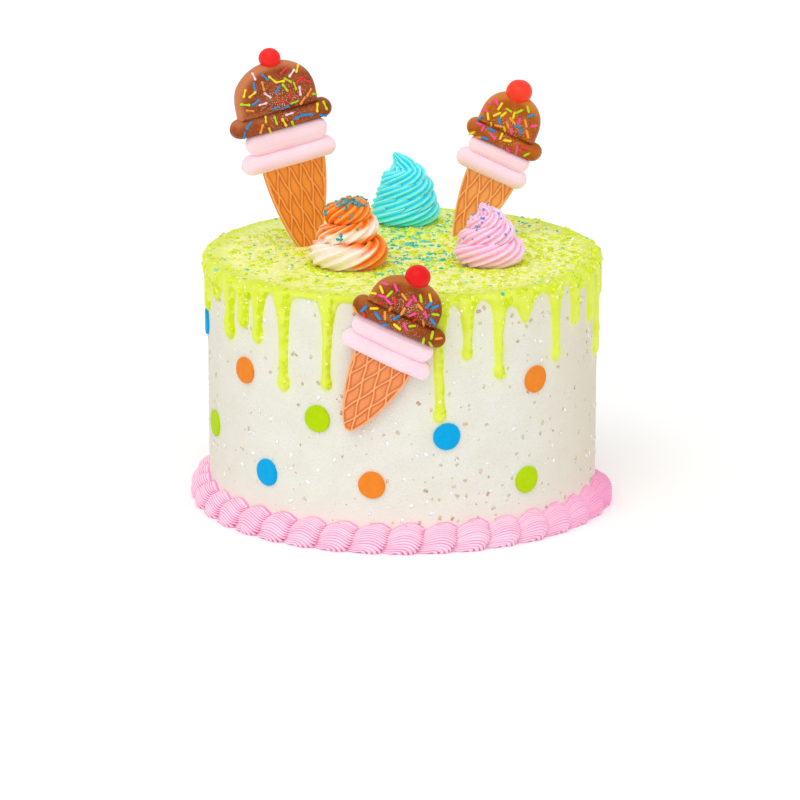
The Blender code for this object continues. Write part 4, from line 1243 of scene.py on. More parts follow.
# %% The three swirls
ORANGE_COILS = [(0, 14.4, 7.3, 7.0), (0.44, 14.9, 7.6, 7.2), (0.7, 14.4, 7.5, 8.2),
                (0.95, 12.6, 7.0, 11.6), (1.2, 11.0, 6.6, 15.8), (1.44, 10.5, 6.4, 18.4),
                (1.7, 10.0, 6.3, 21.4), (1.95, 8.4, 6.3, 24.8), (2.2, 7.2, 6.3, 28.0),
                (2.44, 6.7, 6.4, 29.6), (2.7, 5.8, 6.4, 30.2), (3.0, 3.4, 6.2, 30.6),
                (3.2, 1.2, 4.8, 31.6), (3.35, 0.2, 3.0, 33.4), (3.42, 0, 0.3, 35.0)]
TEAL_COILS = [(0, 13.2, 6.4, 6), (0.5, 13.4, 6.6, 6.2), (1, 13.2, 6.4, 8.2), (2, 11.6, 6, 15),
              (3, 9.6, 5.6, 22), (3.6, 6.6, 6, 25.6), (4.1, 2.4, 7.4, 28), (4.4, 0.4, 7, 30.6),
              (4.6, 0, 5.4, 33.6), (4.75, 0, 3, 36.8), (4.85, 0, 1.4, 39), (4.9, 0, 0.3, 39.7)]
PINK_COILS = [(0, 13.4, 6.4, 6.2), (0.21, 13.8, 6.7, 6.6), (0.5, 13.4, 6.7, 7.2), (0.85, 11.2, 6.4, 10.6),
              (1.0, 10.2, 6.2, 13.2), (1.21, 9.4, 6.1, 15.4), (1.5, 8.6, 6.0, 17.2), (1.85, 6.8, 5.8, 19.8),
              (2.21, 5.0, 5.6, 22.2), (2.6, 3.0, 5.2, 24.6), (3.0, 1.2, 4.5, 27.4), (3.3, 0.2, 3.1, 30.0),
              (3.5, 0, 1.8, 32.0), (3.58, 0, 0.3, 33.0)]
orange_swirl = make_swirl("orange", ORANGE_COILS, twist=1.5, start=200, tip_shift=0,
                          finish=two_tone_finish, seed=30, lips=8, depth=0.2, fullness=1.5)
dress(orange_swirl, "orange_icing", "swirl_orange")
teal_swirl = make_swirl("teal", TEAL_COILS, twist=1.1, start=180, tip_shift=-6,
                        finish=teal_finish, seed=31, depth=0.23)
dress(teal_swirl, "teal_icing", "swirl_teal")
pink_swirl = make_swirl("pink", PINK_COILS, twist=1.4, start=285, tip_shift=-4,
                        finish=rose_finish, seed=32, lips=9, depth=0.22)
dress(pink_swirl, "pink_icing", "swirl_pink")

# %% [markdown]
# ## Flat patterns laid on the cake
# The cones are cut and rolled from fondant flat on a table, so they are drawn flat here too: u runs along
# the brown roll, v up through the scoop and w out from its back. One function then stands a pattern up or
# wraps it round the side, so that all three cones share their shape code. Modelling each cone in place
# would mean turning every outline by hand.

# %% From a flat pattern to the cake
CONE_DEPTH = 5.0


def standing(base, turn, lean, along, height):
    """Places patterns upright: turned about the upright, then leaning in their own plane."""
    turn, lean = math.radians(turn), math.radians(lean)

    def place(points):
        u, v, w = np.moveaxis(np.asarray(points, float), -1, 0)
        side = along + u * math.cos(lean) - v * math.sin(lean)
        rise = height + u * math.sin(lean) + v * math.cos(lean)
        out = w - CONE_DEPTH / 2
        x = base[0] + side * math.cos(turn) + out * math.sin(turn)
        y = base[1] + side * math.sin(turn) - out * math.cos(turn)
        return np.stack([x, y, rise], axis=-1) * MM

    return place


def wrapped(lean, along, height):
    """Places patterns round the side, with w measured out from the white icing."""
    lean = math.radians(lean)

    def place(points):
        u, v, w = np.moveaxis(np.asarray(points, float), -1, 0)
        side = along + u * math.cos(lean) - v * math.sin(lean)
        rise = height + u * math.sin(lean) + v * math.cos(lean)
        return around(side / MM_PER_DEGREE, SIDE_RADIUS + w * MM, rise * MM)

    return place


# Brown roll: half length, radius. Pink roll: middle u, v, half, radius. Scoop: middle u, half. Dome: middle
# u, belly, half, crown. Cherry: u, v, radius. Cone: length, half, middle u, end, lean. Lines: two slants.
TOPPERS = {
    "left": dict(place=standing((-51.4, 11.9), 22, 10.6, -14.9, 209.3), brown_back=-1.5, pink_back=0.0,
                 brown_roll=(29.5, 5.4), pink_roll=(0, -21, 27.3, 5.6), scoop=(0.5, 24.3),
                 dome=(-1.2, 12, 23.2, 32.6), cherry=(-0.4, 34.4, 6.0), cone=(53.6, 18, 1.5, 0.99, 0),
                 lines=(-22, 8)),
    "right": dict(place=standing((35.3, 33.3), -12, -22.4, 20.7, 192.9), brown_back=-1.5, pink_back=0.0,
                  brown_roll=(22.2, 5.1), pink_roll=(0, -17.5, 20.8, 5.4), scoop=(0.8, 18.4),
                  dome=(-0.9, 10, 17.0, 27.0), cherry=(-2.5, 28.2, 7.2), cone=(45, 14.1, 1.9, 0.98, 2.2),
                  lines=(-20, 15)),
    "front": dict(place=wrapped(-25.7, -1.7, 125.5), brown_back=1.6, pink_back=0.36,
                  brown_roll=(25.6, 5), pink_roll=(1.6, -19.1, 24.6, 4.7), scoop=(0.7, 22.9),
                  dome=(-0.9, 9, 18.9, 24.8), cherry=(-2.2, 26, 6.8), cone=(41.6, 15.5, 2, 0.99, 0),
                  lines=(-14, 28))}

# %% [markdown]
# ## Slabs and rolls
# A fondant cut-out has a flat back, an upright edge that the fingers have rounded, and a face that swells
# a little. It could be an extruded outline with a bevel, but a bevel's face stays flat and looks machined.
# Here the outline is drawn in ring by ring, and the depth of each ring follows a quarter circle and then
# a swell that grows with the distance from the edge. A roll is a bar of half round sections with its ends
# drawn in.


# %% Slab and roll shapes
# Lengths in millimetres
BACK_EDGE = 0.6  # how far the back edge is drawn in
BACK_EDGE_DEPTH = 0.7
SWELL_REACH = 5  # how far from the edge the face still swells
FACE_LUMPS = 0.25
FACE_RINGS = 22
LOOP_POINTS = 150
CORNER = 0.8  # how far corners are rounded off
ROLL_STATIONS = 70  # along a roll between its round ends


def draw_in(loop, inset):
    """A closed outline, drawn counterclockwise, moved inwards by a distance."""
    along = np.roll(loop, -1, axis=0) - np.roll(loop, 1, axis=0)
    along /= np.linalg.norm(along, axis=1)[:, None]
    return loop + np.stack([-along[:, 1], along[:, 0]], axis=1) * inset


def edge_distance(points, loop):
    """How far each point is from a closed outline."""
    step = np.roll(loop, -1, axis=0) - loop
    offset = points[:, None, :] - loop[None]
    share = np.clip((offset * step).sum(-1) / np.maximum((step ** 2).sum(-1), 1e-9), 0, 1)
    return np.linalg.norm(offset - share[..., None] * step, axis=-1).min(axis=1)


def at_depth(loop, depth):
    """An outline of the pattern as points with a depth each."""
    return np.column_stack([loop, np.broadcast_to(depth, len(loop))])


def slab(loop, centre, back, front, shoulder, swell, seed):
    """Rings of a cut-out from its flat back, over its rounded edge, to the middle of its face."""
    centre = np.array(centre, float)
    rings = [at_depth(centre[None], back), at_depth(draw_in(loop, BACK_EDGE), back),
             at_depth(loop, back + BACK_EDGE_DEPTH), at_depth(loop, front - shoulder)]
    for bend in np.radians([15, 30, 45, 60, 75]):
        inner = draw_in(loop, shoulder * (1 - np.cos(bend)))
        rings.append(at_depth(inner, front - shoulder * (1 - np.sin(bend))))
    for share in np.linspace(0.97, 0.05, FACE_RINGS):
        rings.append(at_depth(centre + (inner - centre) * share, front))
    rings.append(at_depth(centre[None], front))
    for ring in rings[4:]:
        distance = edge_distance(ring[:, :2], loop)
        ring[:, 2] += swell * (1 - np.exp(-distance / SWELL_REACH)) + FACE_LUMPS * lumps(ring, 7.0, seed)
    return rings


def round_off(loop, count, width):
    """The same closed outline with evenly spaced points and its corners rounded off."""
    closed = np.vstack([loop, loop[:1]])
    lengths = np.r_[0, np.cumsum(np.linalg.norm(np.diff(closed, axis=0), axis=1))]
    places = np.linspace(0, lengths[-1], count, endpoint=False)
    even = np.column_stack([np.interp(places, lengths, closed[:, axis]) for axis in (0, 1)])
    reach = max(1, int(width / (lengths[-1] / count)))
    return sum(np.roll(even, step, axis=0) for step in range(-reach, reach + 1)) / (2 * reach + 1)


def dome_loop(middle, foot, belly, half, crown, seed):
    """A scoop's outline: upright sides up to its belly and a round crown."""
    turns = np.radians(np.linspace(0, 180, 60))
    arch = np.column_stack([half * np.cos(turns), belly + (crown - belly) * np.sin(turns) ** 0.9])
    loop = round_off(np.vstack([[(-half, foot), (half, foot)], arch]), LOOP_POINTS, CORNER)
    waver = lumps(np.column_stack([loop, np.zeros(len(loop))]), 9.0, seed)
    return loop * (1 + 0.012 * waver[:, None]) + [middle, 0]


def band_loop(middle, foot, top, half):
    """The band of scoop between two rolls: round ends, drawn in towards its foot."""
    rise = (top - foot) / 2
    turns = np.radians(np.linspace(-90, 90, 15))
    bulge = half * (1 - 0.035 * (1 - np.sin(turns))) - 0.75 * rise * (1 - np.cos(turns))
    side = (foot + top) / 2 + rise * np.sin(turns)
    loop = np.column_stack([np.r_[bulge, -bulge[::-1]], np.r_[side, side[::-1]]])
    return round_off(loop, LOOP_POINTS, CORNER) + [middle, 0]


def roll(middle_u, middle, half, radius, back, depth, seed):
    """Rings of a bar with a flat back and round ends, along u."""
    ends = np.cos(np.radians(np.linspace(0, 90, 12)))[1:-1]
    stations = np.r_[-half + radius * (1 - ends),
                     np.linspace(-half + radius, half - radius, ROLL_STATIONS),
                     half - radius * (1 - ends[::-1])]
    turns = np.radians(np.linspace(0, 180, 30))
    rings = [np.array([[middle_u - half, middle, back + 0.3 * depth]])]
    for u in stations:
        over = max(0, abs(u) - half + radius) / radius
        share = math.sqrt(max(0.0, 1 - over ** 2))
        v = np.r_[radius * share * np.cos(turns), -radius * share * np.array([0.85, 0.4, -0.4, -0.85])]
        w = np.r_[depth * share ** 0.8 * np.sin(turns) ** 0.8, np.full(4, 0.0)]
        ring = np.column_stack([np.full(len(v), middle_u + u), middle + v, back + w])
        dent = lumps(ring, 8.0, seed)
        ring[:, 1] += 0.35 * dent * np.abs(v) / radius
        ring[:, 2] += 0.3 * dent * (w > 1)
        rings.append(ring)
    rings.append(np.array([[middle_u + half, middle, back + 0.3 * depth]]))
    return rings


def lay(name, place, rings, finish, marks=None):
    """A piece from the rings of a pattern, placed on the cake."""
    points, faces = skin([place(ring) for ring in rings])
    return make_piece(name, points, faces, finish, marks)


# %% [markdown]
# ## The waffle
# The waffle is a slab pressed with a toothed mat: two families of thin raised lines cross at a slant, and
# a raised rim follows the edge. An image could draw the lines, but from the side they have to stand out,
# so the face is a fine grid whose depth is lifted near each line. A mark tells the material which points
# lie on a line, because the lines are lighter than the panels.

# %% Waffle slabs
# Lengths in millimetres
CONE_ROWS = 150
CONE_COLUMNS = 96
LINE_SPACING = 6.7
LINE_HALF = 0.56
LINE_RISE = 0.75
BED_REACH = 1.3  # how far beside a line its painted shade reaches
RIM_WIDTH = 1.3
EDGE_ROUND = 0.8  # how far its edge is rounded off
MOUTH_OVERLAP = 0.03  # share of its length that the waffle runs on under the roll
BEHIND = [1, 1, 0.98, 0.9, 0.3, -0.3, -0.9, -0.98, -1, -1]  # shares of the half width, round the back


def line_distance(u, v, angle):
    """How far each point is from the nearest of a family of parallel lines."""
    slant = math.radians(angle)
    offset = u * math.cos(slant) - v * math.sin(slant) + 0.25 * np.sin(v / 2.1)
    return np.abs((offset / LINE_SPACING + 0.5) % 1 - 0.5) * LINE_SPACING


def waffle(mouth, sizes, back, lines):
    """Rings of the cone across its axis, from its mouth to its tip, with its lines and their beds."""
    length, half_width, middle, end, lean = sizes
    columns = np.linspace(-1, 1, CONE_COLUMNS)
    hidden = len(BEHIND)
    rings = []
    marks = []
    beds = []
    for share in np.linspace(-MOUTH_OVERLAP, end, CONE_ROWS):
        half = half_width * (1 - max(share, 0) ** 1.4) ** 0.65
        u = half * columns
        v = np.full(CONE_COLUMNS, mouth - share * length)
        inside = np.minimum(half - np.abs(u), (end - share) * length * 0.8)
        nearest = np.minimum(line_distance(u, v, lines[0]), line_distance(u, v, lines[1]))
        line = np.clip(1 - (nearest / LINE_HALF) ** 2, 0, 1) ** 0.6
        lifted = np.maximum(line, np.clip(1 - (inside / RIM_WIDTH) ** 4, 0, 1))
        beside = np.minimum(nearest - LINE_HALF, inside - RIM_WIDTH)
        w = back + CONE_DEPTH - LINE_RISE * (1 - lifted)
        w -= EDGE_ROUND * (1 - np.sqrt(np.clip(1 - np.clip(1 - inside / EDGE_ROUND, 0, 1) ** 2, 0, 1)))
        w = np.minimum(w, back + CONE_DEPTH * np.sqrt(np.clip(half / 1.5, 0.05, 1)))
        wall = w[-1] - back - 0.3
        depths = back + np.array([wall, 1.2, 0.3, 0, 0, 0, 0, 0.3, 1.2, wall])
        across = np.r_[u, half * np.array(BEHIND)] + middle - lean * share
        rings.append(np.column_stack([across, np.full(len(across), v[0]), np.r_[w, depths]]))
        marks.append(np.r_[lifted, np.zeros(hidden)])
        # Painted shade: darker beside each line and on the cone's walls.
        beds.append(np.r_[blend_in(BED_REACH, 0, beside) * 0.8, np.full(hidden, 0.5)])
    ends = [rings[0].mean(0)[None], rings[-1].mean(0)[None]]
    marks = {"line": np.concatenate([[0]] + marks + [[0]]), "bed": np.concatenate([[0]] + beds + [[0]])}
    return [ends[0]] + rings + [ends[1]], marks


# %% The toppers' finishes
def waffle_finish(name, line, panel, deep):
    """Fondant with pale lines and painted shade in the beds beside them and on its walls."""
    middle = tuple(0.75 * a + 0.25 * b for a, b in zip(panel, deep))
    made, tree, shader, _, colour = start_finish(
        name, panel, middle, scale=260, edge=0.35, roughness=0.55, bump=0.05, coarse=700, fine=2600)
    bed_shaded = mix_colours(tree, mark_value(tree, "bed"), colour, deep)
    lit = mix_colours(tree, mark_value(tree, "line"), bed_shaded, line)
    tree.links.new(lit, shader.inputs["Base Color"])
    return made


def brown_finish(name, light, body, deep):
    """Satin brown fondant with a painted edge highlight, dusted with sugar in two sizes where the mark says
    so.
    """
    made, tree, shader, place, colour = start_finish(
        name, body, deep, scale=200, edge=0.35, roughness=0.38, bump=0.05, coarse=500, fine=2200,
        shine=0.15)
    # Painted highlight: the light colour where the edge mark says the key light catches the fondant.
    colour = mix_colours(tree, mark_value(tree, "edge"), colour, light)
    for scale, size in ((1150.0, 0.26), (1700.0, 0.28)):
        specks = speck_mask(tree, place, scale, size, 0.5)
        colour = tint_in(tree, colour, specks, mark_value(tree, "dust"), paint(252, 242, 236))
    tree.links.new(colour, shader.inputs["Base Color"])
    return made


waffle_finishes = {
    "left": waffle_finish("waffle left", paint(255, 180, 98), paint(255, 162, 68), paint(216, 104, 4)),
    "right": waffle_finish("waffle right", paint(255, 196, 124), paint(255, 178, 106), paint(228, 112, 34)),
    "front": waffle_finish("waffle front", paint(255, 180, 118), paint(246, 156, 96), paint(206, 100, 50))}
# The first colour of each cone is the painted highlight on its edge.
brown_finishes = {
    "left": brown_finish("brown left", paint(214, 134, 86), paint(174, 86, 34), paint(136, 54, 10)),
    "right": brown_finish("brown right", paint(220, 138, 52), paint(198, 102, 0), paint(160, 76, 0)),
    "front": brown_finish("brown front", paint(200, 120, 50), paint(164, 80, 4), paint(130, 54, 0))}
pink_finish = plain_finish("pink fondant", paint(255, 223, 231), paint(255, 213, 223), scale=60,
                           roughness=0.55, bump=0.05, coarse=500, fine=2200, soft=0.7, shine=0.1,
                           glow=0.07)
CHERRY_COLOURS = {"left": ((250, 40, 32), (240, 24, 24)), "right": ((255, 72, 44), (250, 52, 34)),
                  "front": ((238, 8, 10), (226, 4, 8))}
cherry_finishes = {}
for side, (light, deep) in CHERRY_COLOURS.items():
    cherry_finishes[side] = plain_finish("cherry " + side, paint(*light), paint(*deep), scale=200,
                                         roughness=0.45, bump=0.04, coarse=500, fine=2200, shine=0.25)

# %% The three toppers
# Depths from the back to the face, the roundness of each edge and the swell of each face, in millimetres
BAND_DEPTH = 6.5
BAND_SHOULDER = 3.4
BAND_SWELL = 1.0
DOME_DEPTH = 7.0
DOME_SHOULDER = 4.2
DOME_SWELL = 1.2
ROLL_DEPTH = 9.0
CHERRY_REST = 2.8  # how far a cherry's middle is from the back of the scoop
CHERRY_SQUASH = 0.94  # its height as a share of its width
BALL_POINTS = 36
BALL_RINGS = 25


def ball(middle, radius, squash, seed):
    """Rings of a ball of fondant, in place, with an uneven skin."""
    turns = np.linspace(0, 2 * np.pi, BALL_POINTS, endpoint=False)
    rings = []
    for tilt in np.radians(np.linspace(-90, 90, BALL_RINGS)):
        ring = np.column_stack([np.cos(tilt) * np.cos(turns), np.cos(tilt) * np.sin(turns),
                                np.full(BALL_POINTS, math.sin(tilt) * squash)])
        reach = radius * (1 + 0.02 * lumps(ring, 0.7, seed))
        rings.append(middle + ring * reach[:, None] * MM)
    return [rings[0][:1]] + rings[1:-1] + [rings[-1][:1]]


def dome_marks(flat, loop, part):
    """Where a brown scoop takes strands, sugar dust and a painted highlight on its upper-left edge."""
    _, belly, half, _ = part["dome"]
    cherry_u, cherry_v, cherry_radius = part["cherry"]
    u, v, w = flat.T
    from_edge = edge_distance(flat[:, :2], loop)
    to_cherry = np.hypot(u - cherry_u, v - cherry_v) - cherry_radius
    zone = blend_in(1.2, 2.2, from_edge) * blend_in(1.0, 2.0, to_cherry) * (w > part["brown_back"] + 5)
    dust = 0.8 * np.exp(-((u - 2) / half / 0.75) ** 2 - ((v - belly * 0.6) / half / 0.6) ** 2)
    # Painted highlight: a paler band along the upper-left edge, where the key light catches the shoulder.
    edge = blend_in(4.6, 0.5, from_edge) * blend_in(6, 26, v * 1.3 - u)
    return {"strands": zone, "dust": dust, "edge": 0.8 * edge}


def bar_marks(flat, part):
    """Where a brown roll takes strands, sugar dust and a painted highlight on its upper left."""
    half, radius = part["brown_roll"]
    u, v, w = flat.T
    zone = 1.0 * (w > part["brown_back"] + ROLL_DEPTH * 0.8) * (np.abs(u) < half - 3)
    dust = 0.5 * np.exp(-(u / half / 0.55) ** 2)
    # Painted highlight: paler on the upper half of the roll, towards its left end.
    edge = 0.6 * blend_in(0.2, 1, v / radius) * blend_in(0, -half, u)
    return {"strands": zone, "dust": dust, "edge": edge}


def make_topper(side, seed):
    """One cone: waffle, pink scoop and roll, brown scoop and roll, and a cherry. Gives what takes strands."""
    part = TOPPERS[side]
    place, brown_back, pink_back = part["place"], part["brown_back"], part["pink_back"]
    roll_half, roll_radius = part["brown_roll"]
    pink_u, pink_v, pink_half, pink_radius = part["pink_roll"]
    scoop_u, scoop_half = part["scoop"]
    dome_u, belly, half, crown = part["dome"]
    cherry_u, cherry_v, cherry_radius = part["cherry"]
    name = "cone_%s_" % side

    mouth = pink_v - pink_radius - 0.3
    rings, marks = waffle(mouth, part["cone"], pink_back, part["lines"])
    cone = lay("waffle_" + side, place, rings, waffle_finishes[side], marks)
    dress(cone, "waffle_fondant", name + "waffle")

    foot, top = pink_v + pink_radius - 1.0, -roll_radius + 0.6
    rings = slab(band_loop(scoop_u, foot, top, scoop_half), (scoop_u, (foot + top) / 2), pink_back,
                 pink_back + BAND_DEPTH, BAND_SHOULDER, BAND_SWELL, seed)
    dress(lay("pink_scoop_" + side, place, rings, pink_finish), "pink_fondant", name + "pink_scoop")
    rings = roll(pink_u, pink_v, pink_half, pink_radius, pink_back, ROLL_DEPTH, seed + 1)
    dress(lay("pink_roll_" + side, place, rings, pink_finish), "pink_fondant", name + "pink_roll")

    loop = dome_loop(dome_u, roll_radius - 1.2, belly, half, crown, seed + 2)
    rings = slab(loop, (dome_u, belly * 0.95), brown_back, brown_back + DOME_DEPTH, DOME_SHOULDER,
                 DOME_SWELL, seed + 3)
    marks = dome_marks(np.concatenate(rings), loop, part)
    dome = lay("brown_scoop_" + side, place, rings, brown_finishes[side], marks)
    dress(dome, "brown_fondant", name + "brown_scoop")

    rings = roll(0, 0, roll_half, roll_radius, brown_back, ROLL_DEPTH, seed + 4)
    marks = bar_marks(np.concatenate(rings), part)
    bar = lay("brown_roll_" + side, place, rings, brown_finishes[side], marks)
    dress(bar, "brown_fondant", name + "brown_roll")

    middle = place(np.array([[cherry_u, cherry_v, brown_back + CHERRY_REST]]))[0]
    points, faces = skin(ball(middle, cherry_radius, CHERRY_SQUASH, seed + 5))
    cherry = make_piece("cherry_" + side, points, faces, cherry_finishes[side])
    dress(cherry, "cherry_fondant", name + "cherry")
    return dome, bar


made_toppers = {side: make_topper(side, seed) for side, seed in (("left", 40), ("right", 50), ("front", 60))}

# %% [markdown]
# ## Strands, sugar and flakes
# Sugar strands, sanding sugar and flakes repeat by the hundred, so Geometry Nodes strew them: points are
# spread over a piece by one of its marks, never nearer to each other than a spacing, and one small grain
# is set on each with its own turn and size. Copying grains by hand would be slow and would clump. Every
# grain keeps a number, its tone, from which the material picks one of a few colours.

# %% The strewing tree
NAME = "NodeSocketString"
STREW, given, ends_out = start_group(
    "Strewn grains", "GeometryNodeTree",
    {"Geometry": (GEOMETRY, None), "Grain": (OBJECT, None), "Mark": (NAME, "strands"),
     "Spacing": (VALUE, 0.004), "Density": (VALUE, 100000.0), "Smallest": (VALUE, 0.8),
     "Largest": (VALUE, 1.2), "Lean": (VALUE, 0.1), "Lift": (VALUE, 0.0), "Tones": (COUNT, 6),
     "Seed": (COUNT, 1), "Finish": (MATERIAL, None)},
    {"Geometry": (GEOMETRY, None)})
density = node(STREW, "GeometryNodeInputNamedAttribute", {"data_type": "FLOAT"},
               {"Name": given["Mark"]})
drop = node(STREW, "GeometryNodeDistributePointsOnFaces", {"distribute_method": "POISSON"},
            {"Mesh": given["Geometry"], "Distance Min": given["Spacing"],
             "Density Max": given["Density"], "Density Factor": density.outputs["Attribute"],
             "Seed": given["Seed"]})
rise = node(STREW, "ShaderNodeVectorMath", {"operation": "SCALE"},
            {0: drop.outputs["Normal"], "Scale": given["Lift"]})
lifted = node(STREW, "GeometryNodeSetPosition", None,
              {"Geometry": drop.outputs["Points"], "Offset": rise.outputs[0]})
back_lean = calculate(STREW, "MULTIPLY", given["Lean"], -1.0)
least = node(STREW, "ShaderNodeCombineXYZ", None, {"X": back_lean, "Y": back_lean, "Z": -math.pi})
most = node(STREW, "ShaderNodeCombineXYZ", None, {"X": given["Lean"], "Y": given["Lean"], "Z": math.pi})
spin = node(STREW, "FunctionNodeRandomValue", {"data_type": "FLOAT_VECTOR"},
            {0: least.outputs[0], 1: most.outputs[0], "Seed": given["Seed"]})
spin_turn = node(STREW, "FunctionNodeEulerToRotation", None, {0: spin.outputs[0]})
facing = node(STREW, "FunctionNodeRotateRotation", {"rotation_space": "LOCAL"},
              {0: drop.outputs["Rotation"], 1: spin_turn.outputs[0]})
sized = node(STREW, "FunctionNodeRandomValue", {"data_type": "FLOAT"},
             {2: given["Smallest"], 3: given["Largest"], "Seed": given["Seed"]})
grain_shape = node(STREW, "GeometryNodeObjectInfo", None, {"Object": given["Grain"]})
placed = node(STREW, "GeometryNodeInstanceOnPoints", None,
              {"Points": lifted.outputs[0], "Instance": grain_shape.outputs["Geometry"],
               "Rotation": facing.outputs[0], "Scale": sized.outputs[1]})
last_tone = calculate(STREW, "SUBTRACT", given["Tones"], 1.0)
tone = node(STREW, "FunctionNodeRandomValue", {"data_type": "INT"},
            {4: 0, 5: last_tone, "Seed": given["Seed"]})
toned = node(STREW, "GeometryNodeStoreNamedAttribute", {"data_type": "FLOAT", "domain": "INSTANCE"},
             {"Geometry": placed.outputs[0], "Name": "tone", "Value": tone.outputs[2]})
end_tree(STREW, toned.outputs[0], given, ends_out)


# %% Grains and their finishes
def tone_finish(name, colours, roughness, glow=0.0):
    """A finish that picks a colour by the tone of each grain."""
    made, tree, shader, _, _ = start_finish(
        name, colours[0], colours[0], roughness=roughness, bump=0.03, coarse=900, fine=2600, glow=glow)
    width = 1 / len(colours)
    share = calculate(tree, "MULTIPLY_ADD", mark_value(tree, "tone"), width, width / 2)
    ramp = node(tree, "ShaderNodeValToRGB", None, {"Fac": share})
    ramp.color_ramp.interpolation = "CONSTANT"
    for index, tint in enumerate(colours):
        stops = ramp.color_ramp.elements
        stop = stops[0] if index == 0 else stops.new(index / len(colours))
        stop.color = tint
    ramp.color_ramp.elements.remove(ramp.color_ramp.elements[-1])
    tree.links.new(ramp.outputs["Color"], shader.inputs["Base Color"])
    return made


def rod(name, length, radii, sides, finish):
    """A small rod along x, with a radius at each of its stations."""
    turns = np.linspace(0, 2 * np.pi, sides, endpoint=False)
    stations = np.linspace(-length / 2, length / 2, len(radii))
    rings = [np.array([[-length / 2 - radii[0] * 0.5, 0, 0]])]
    for x, radius in zip(stations, radii):
        rings.append(np.column_stack([np.full(sides, x), radius * np.cos(turns), radius * np.sin(turns)]))
    rings.append(np.array([[length / 2 + radii[-1] * 0.5, 0, 0]]))
    points, faces = skin([ring * MM for ring in rings])
    return make_piece(name, points, faces, finish)


def chip(name, size, finish, seed):
    """A grain: a box of the size with its corners moved a little."""
    chance = random.Random(seed)
    points = []
    for x in (-0.5, 0.5):
        for y in (-0.5, 0.5):
            for z in (-0.5, 0.5):
                corner = (x * size[0], y * size[1], z * size[2])
                points.append([c * chance.uniform(0.7, 1.15) * MM for c in corner])
    faces = [(0, 1, 3, 2), (4, 6, 7, 5), (0, 4, 5, 1), (2, 3, 7, 6), (0, 2, 6, 4), (1, 5, 7, 3)]
    return make_piece(name, points, faces, finish)


def strew(name, host, grain, slot, mark, spacing, density, sizes, lean, lift, tones, seed):
    """Strews a grain over a piece as one piece. Its spacing and lift are in millimetres."""
    finish = grain.data.materials[0]
    values = {"Grain": grain, "Finish": finish, "Mark": mark, "Spacing": spacing * MM, "Density": density,
              "Smallest": sizes[0], "Largest": sizes[1], "Lean": lean, "Lift": lift * MM, "Tones": tones,
              "Seed": seed}
    dress(run_tree(name, host.data, STREW, values, finish), slot)


# %% Strands on the brown scoops and rolls
YELLOW, LIME, BLUE = paint(250, 226, 50), paint(186, 224, 30), paint(24, 150, 224)
RED, ORANGE = paint(240, 60, 62), paint(250, 160, 66)
PALE_ROSE, HOT_PINK = paint(250, 222, 236), paint(250, 84, 156)
STRAND_COLOURS = [YELLOW, LIME, RED, BLUE, ORANGE]
STRAND_TONES = len(STRAND_COLOURS) + 1
strand_finish = tone_finish("sugar strands", [PALE_ROSE] + STRAND_COLOURS, 0.45)
bright_finish = tone_finish("bright strands", [HOT_PINK] + STRAND_COLOURS, 0.45)
bone = rod("bone", 5.0, (0.66, 0.82, 0.6, 0.5, 0.5, 0.6, 0.82, 0.66), 8, strand_finish)
stick = rod("stick", 4.4, (0.6, 0.7, 0.72, 0.72, 0.7, 0.6), 8, bright_finish)

# Grain, spacing on the scoop and on the roll in millimetres, and seed
STRAND_SETS = {"left": (bone, 4.1, 4.4, 7), "right": (stick, 3.2, 3.5, 19), "front": (stick, 3.2, 3.6, 5)}
for side, (grain, dome_gap, bar_gap, seed) in STRAND_SETS.items():
    for piece, host, gap in zip(("scoop", "roll"), made_toppers[side], (dome_gap, bar_gap)):
        strew(piece + "_strands_" + side, host, grain, "brown_fondant", "strands", gap, 160000.0,
              sizes=(0.9, 1.1), lean=0.12, lift=0.2, tones=STRAND_TONES, seed=seed)

# %% Sanding sugar on the lime layer
PALE_SUGAR = [paint(250, 255, 176), paint(248, 255, 150), paint(244, 255, 130), paint(252, 255, 210)]
LIME_SUGAR = [paint(232, 247, 28), paint(244, 253, 90), paint(222, 240, 6), paint(208, 230, 0)]
TEAL_SUGAR = [paint(90, 226, 204), paint(150, 240, 220), paint(40, 208, 184)]
pale_grain = chip("pale_grain", (1.7, 1.4, 0.3), tone_finish("pale sugar", PALE_SUGAR, 0.35, 0.1), 1)
lime_grain = chip("lime_grain", (2.3, 1.8, 0.9), tone_finish("lime sugar", LIME_SUGAR, 0.35, 0.05), 2)
teal_grain = chip("teal_grain", (1.5, 1.1, 0.6), tone_finish("teal sugar", TEAL_SUGAR, 0.35), 3)
strew("pale_sugar", lime_layer, pale_grain, "lime_icing", "sugar", 2.0, 160000.0,
      sizes=(0.5, 1.2), lean=0.25, lift=-0.08, tones=len(PALE_SUGAR), seed=3)
strew("lime_sugar", lime_layer, lime_grain, "lime_icing", "clumps", 1.0, 620000.0,
      sizes=(0.45, 1.3), lean=0.35, lift=0.05, tones=len(LIME_SUGAR), seed=4)
strew("teal_sugar", lime_layer, teal_grain, "lime_icing", "teal", 0.95, 420000.0,
      sizes=(0.5, 1.4), lean=0.4, lift=0.2, tones=len(TEAL_SUGAR), seed=5)

# %% Flakes on the white icing and the top
WHITE_FLAKES = [paint(255, 255, 255), paint(252, 252, 250), paint(244, 246, 248)]
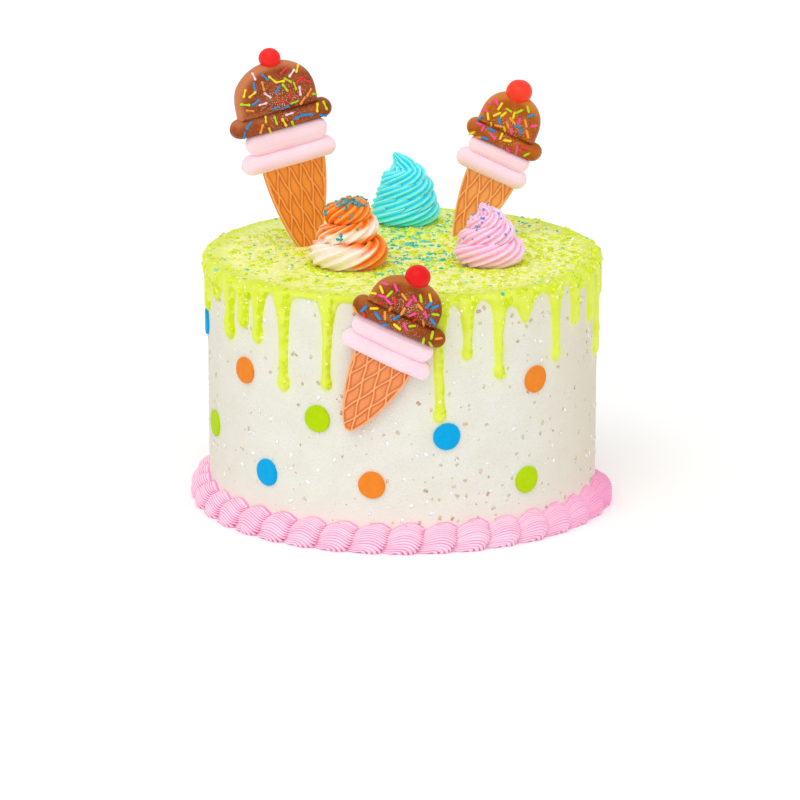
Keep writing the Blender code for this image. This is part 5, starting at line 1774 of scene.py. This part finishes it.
# The tan flakes are real clear glitter flakes; their tan is painted shade and the brown they reflect.
TAN_FLAKES = [paint(220, 198, 168), paint(230, 212, 188), paint(206, 178, 144), paint(224, 208, 176)]
white_flake = chip("white_flake", (2.6, 1.7, 0.4), tone_finish("white flakes", WHITE_FLAKES, 0.2), 6)
tan_flake = chip("tan_flake", (2.7, 1.5, 0.35), tone_finish("tan flakes", TAN_FLAKES, 0.5), 7)
strew("white_flakes", white_icing, white_flake, "white_icing", "bare", 2.8, 6000.0,
      sizes=(0.15, 1.1), lean=0.25, lift=0.05, tones=len(WHITE_FLAKES), seed=6)
strew("tan_flakes", white_icing, tan_flake, "white_icing", "flecks", 1.7, 17000.0,
      sizes=(0.2, 1.15), lean=0.15, lift=-0.02, tones=len(TAN_FLAKES), seed=7)
strew("top_flakes", lime_layer, white_flake, "lime_icing", "sugar", 11.0, 9000.0,
      sizes=(0.4, 1.0), lean=0.6, lift=0.4, tones=len(WHITE_FLAKES), seed=8)

# %% Sugar on the swirls
GREY_TEAL = [paint(74, 150, 154), paint(120, 180, 178), paint(168, 180, 172), paint(60, 176, 178)]
BLUE_SUGAR = [paint(104, 160, 240), paint(140, 150, 236), paint(120, 186, 240), paint(150, 116, 214)]
crown_grain = chip("crown_grain", (2.0, 1.5, 0.9), tone_finish("crown sugar", GREY_TEAL, 0.35), 11)
blue_grain = chip("blue_grain", (1.8, 1.4, 0.9), tone_finish("blue sugar", BLUE_SUGAR, 0.35), 12)
strew("crown_sugar", orange_swirl, crown_grain, "teal_icing", "crown", 0.8, 520000.0,
      sizes=(0.6, 1.2), lean=0.7, lift=0.2, tones=len(GREY_TEAL), seed=9)
strew("rose_sugar", pink_swirl, blue_grain, "blue_fondant", "side", 0.9, 160000.0,
      sizes=(0.5, 1.1), lean=0.5, lift=0.1, tones=len(BLUE_SUGAR), seed=10)
strew("teal_flakes", teal_swirl, white_flake, "white_icing", "side", 3.0, 14000.0,
      sizes=(0.2, 0.5), lean=0.5, lift=0.1, tones=len(WHITE_FLAKES), seed=12)
for grain in (bone, stick, pale_grain, lime_grain, teal_grain, white_flake, tan_flake, crown_grain,
              blue_grain):
    bpy.data.objects.remove(grain)
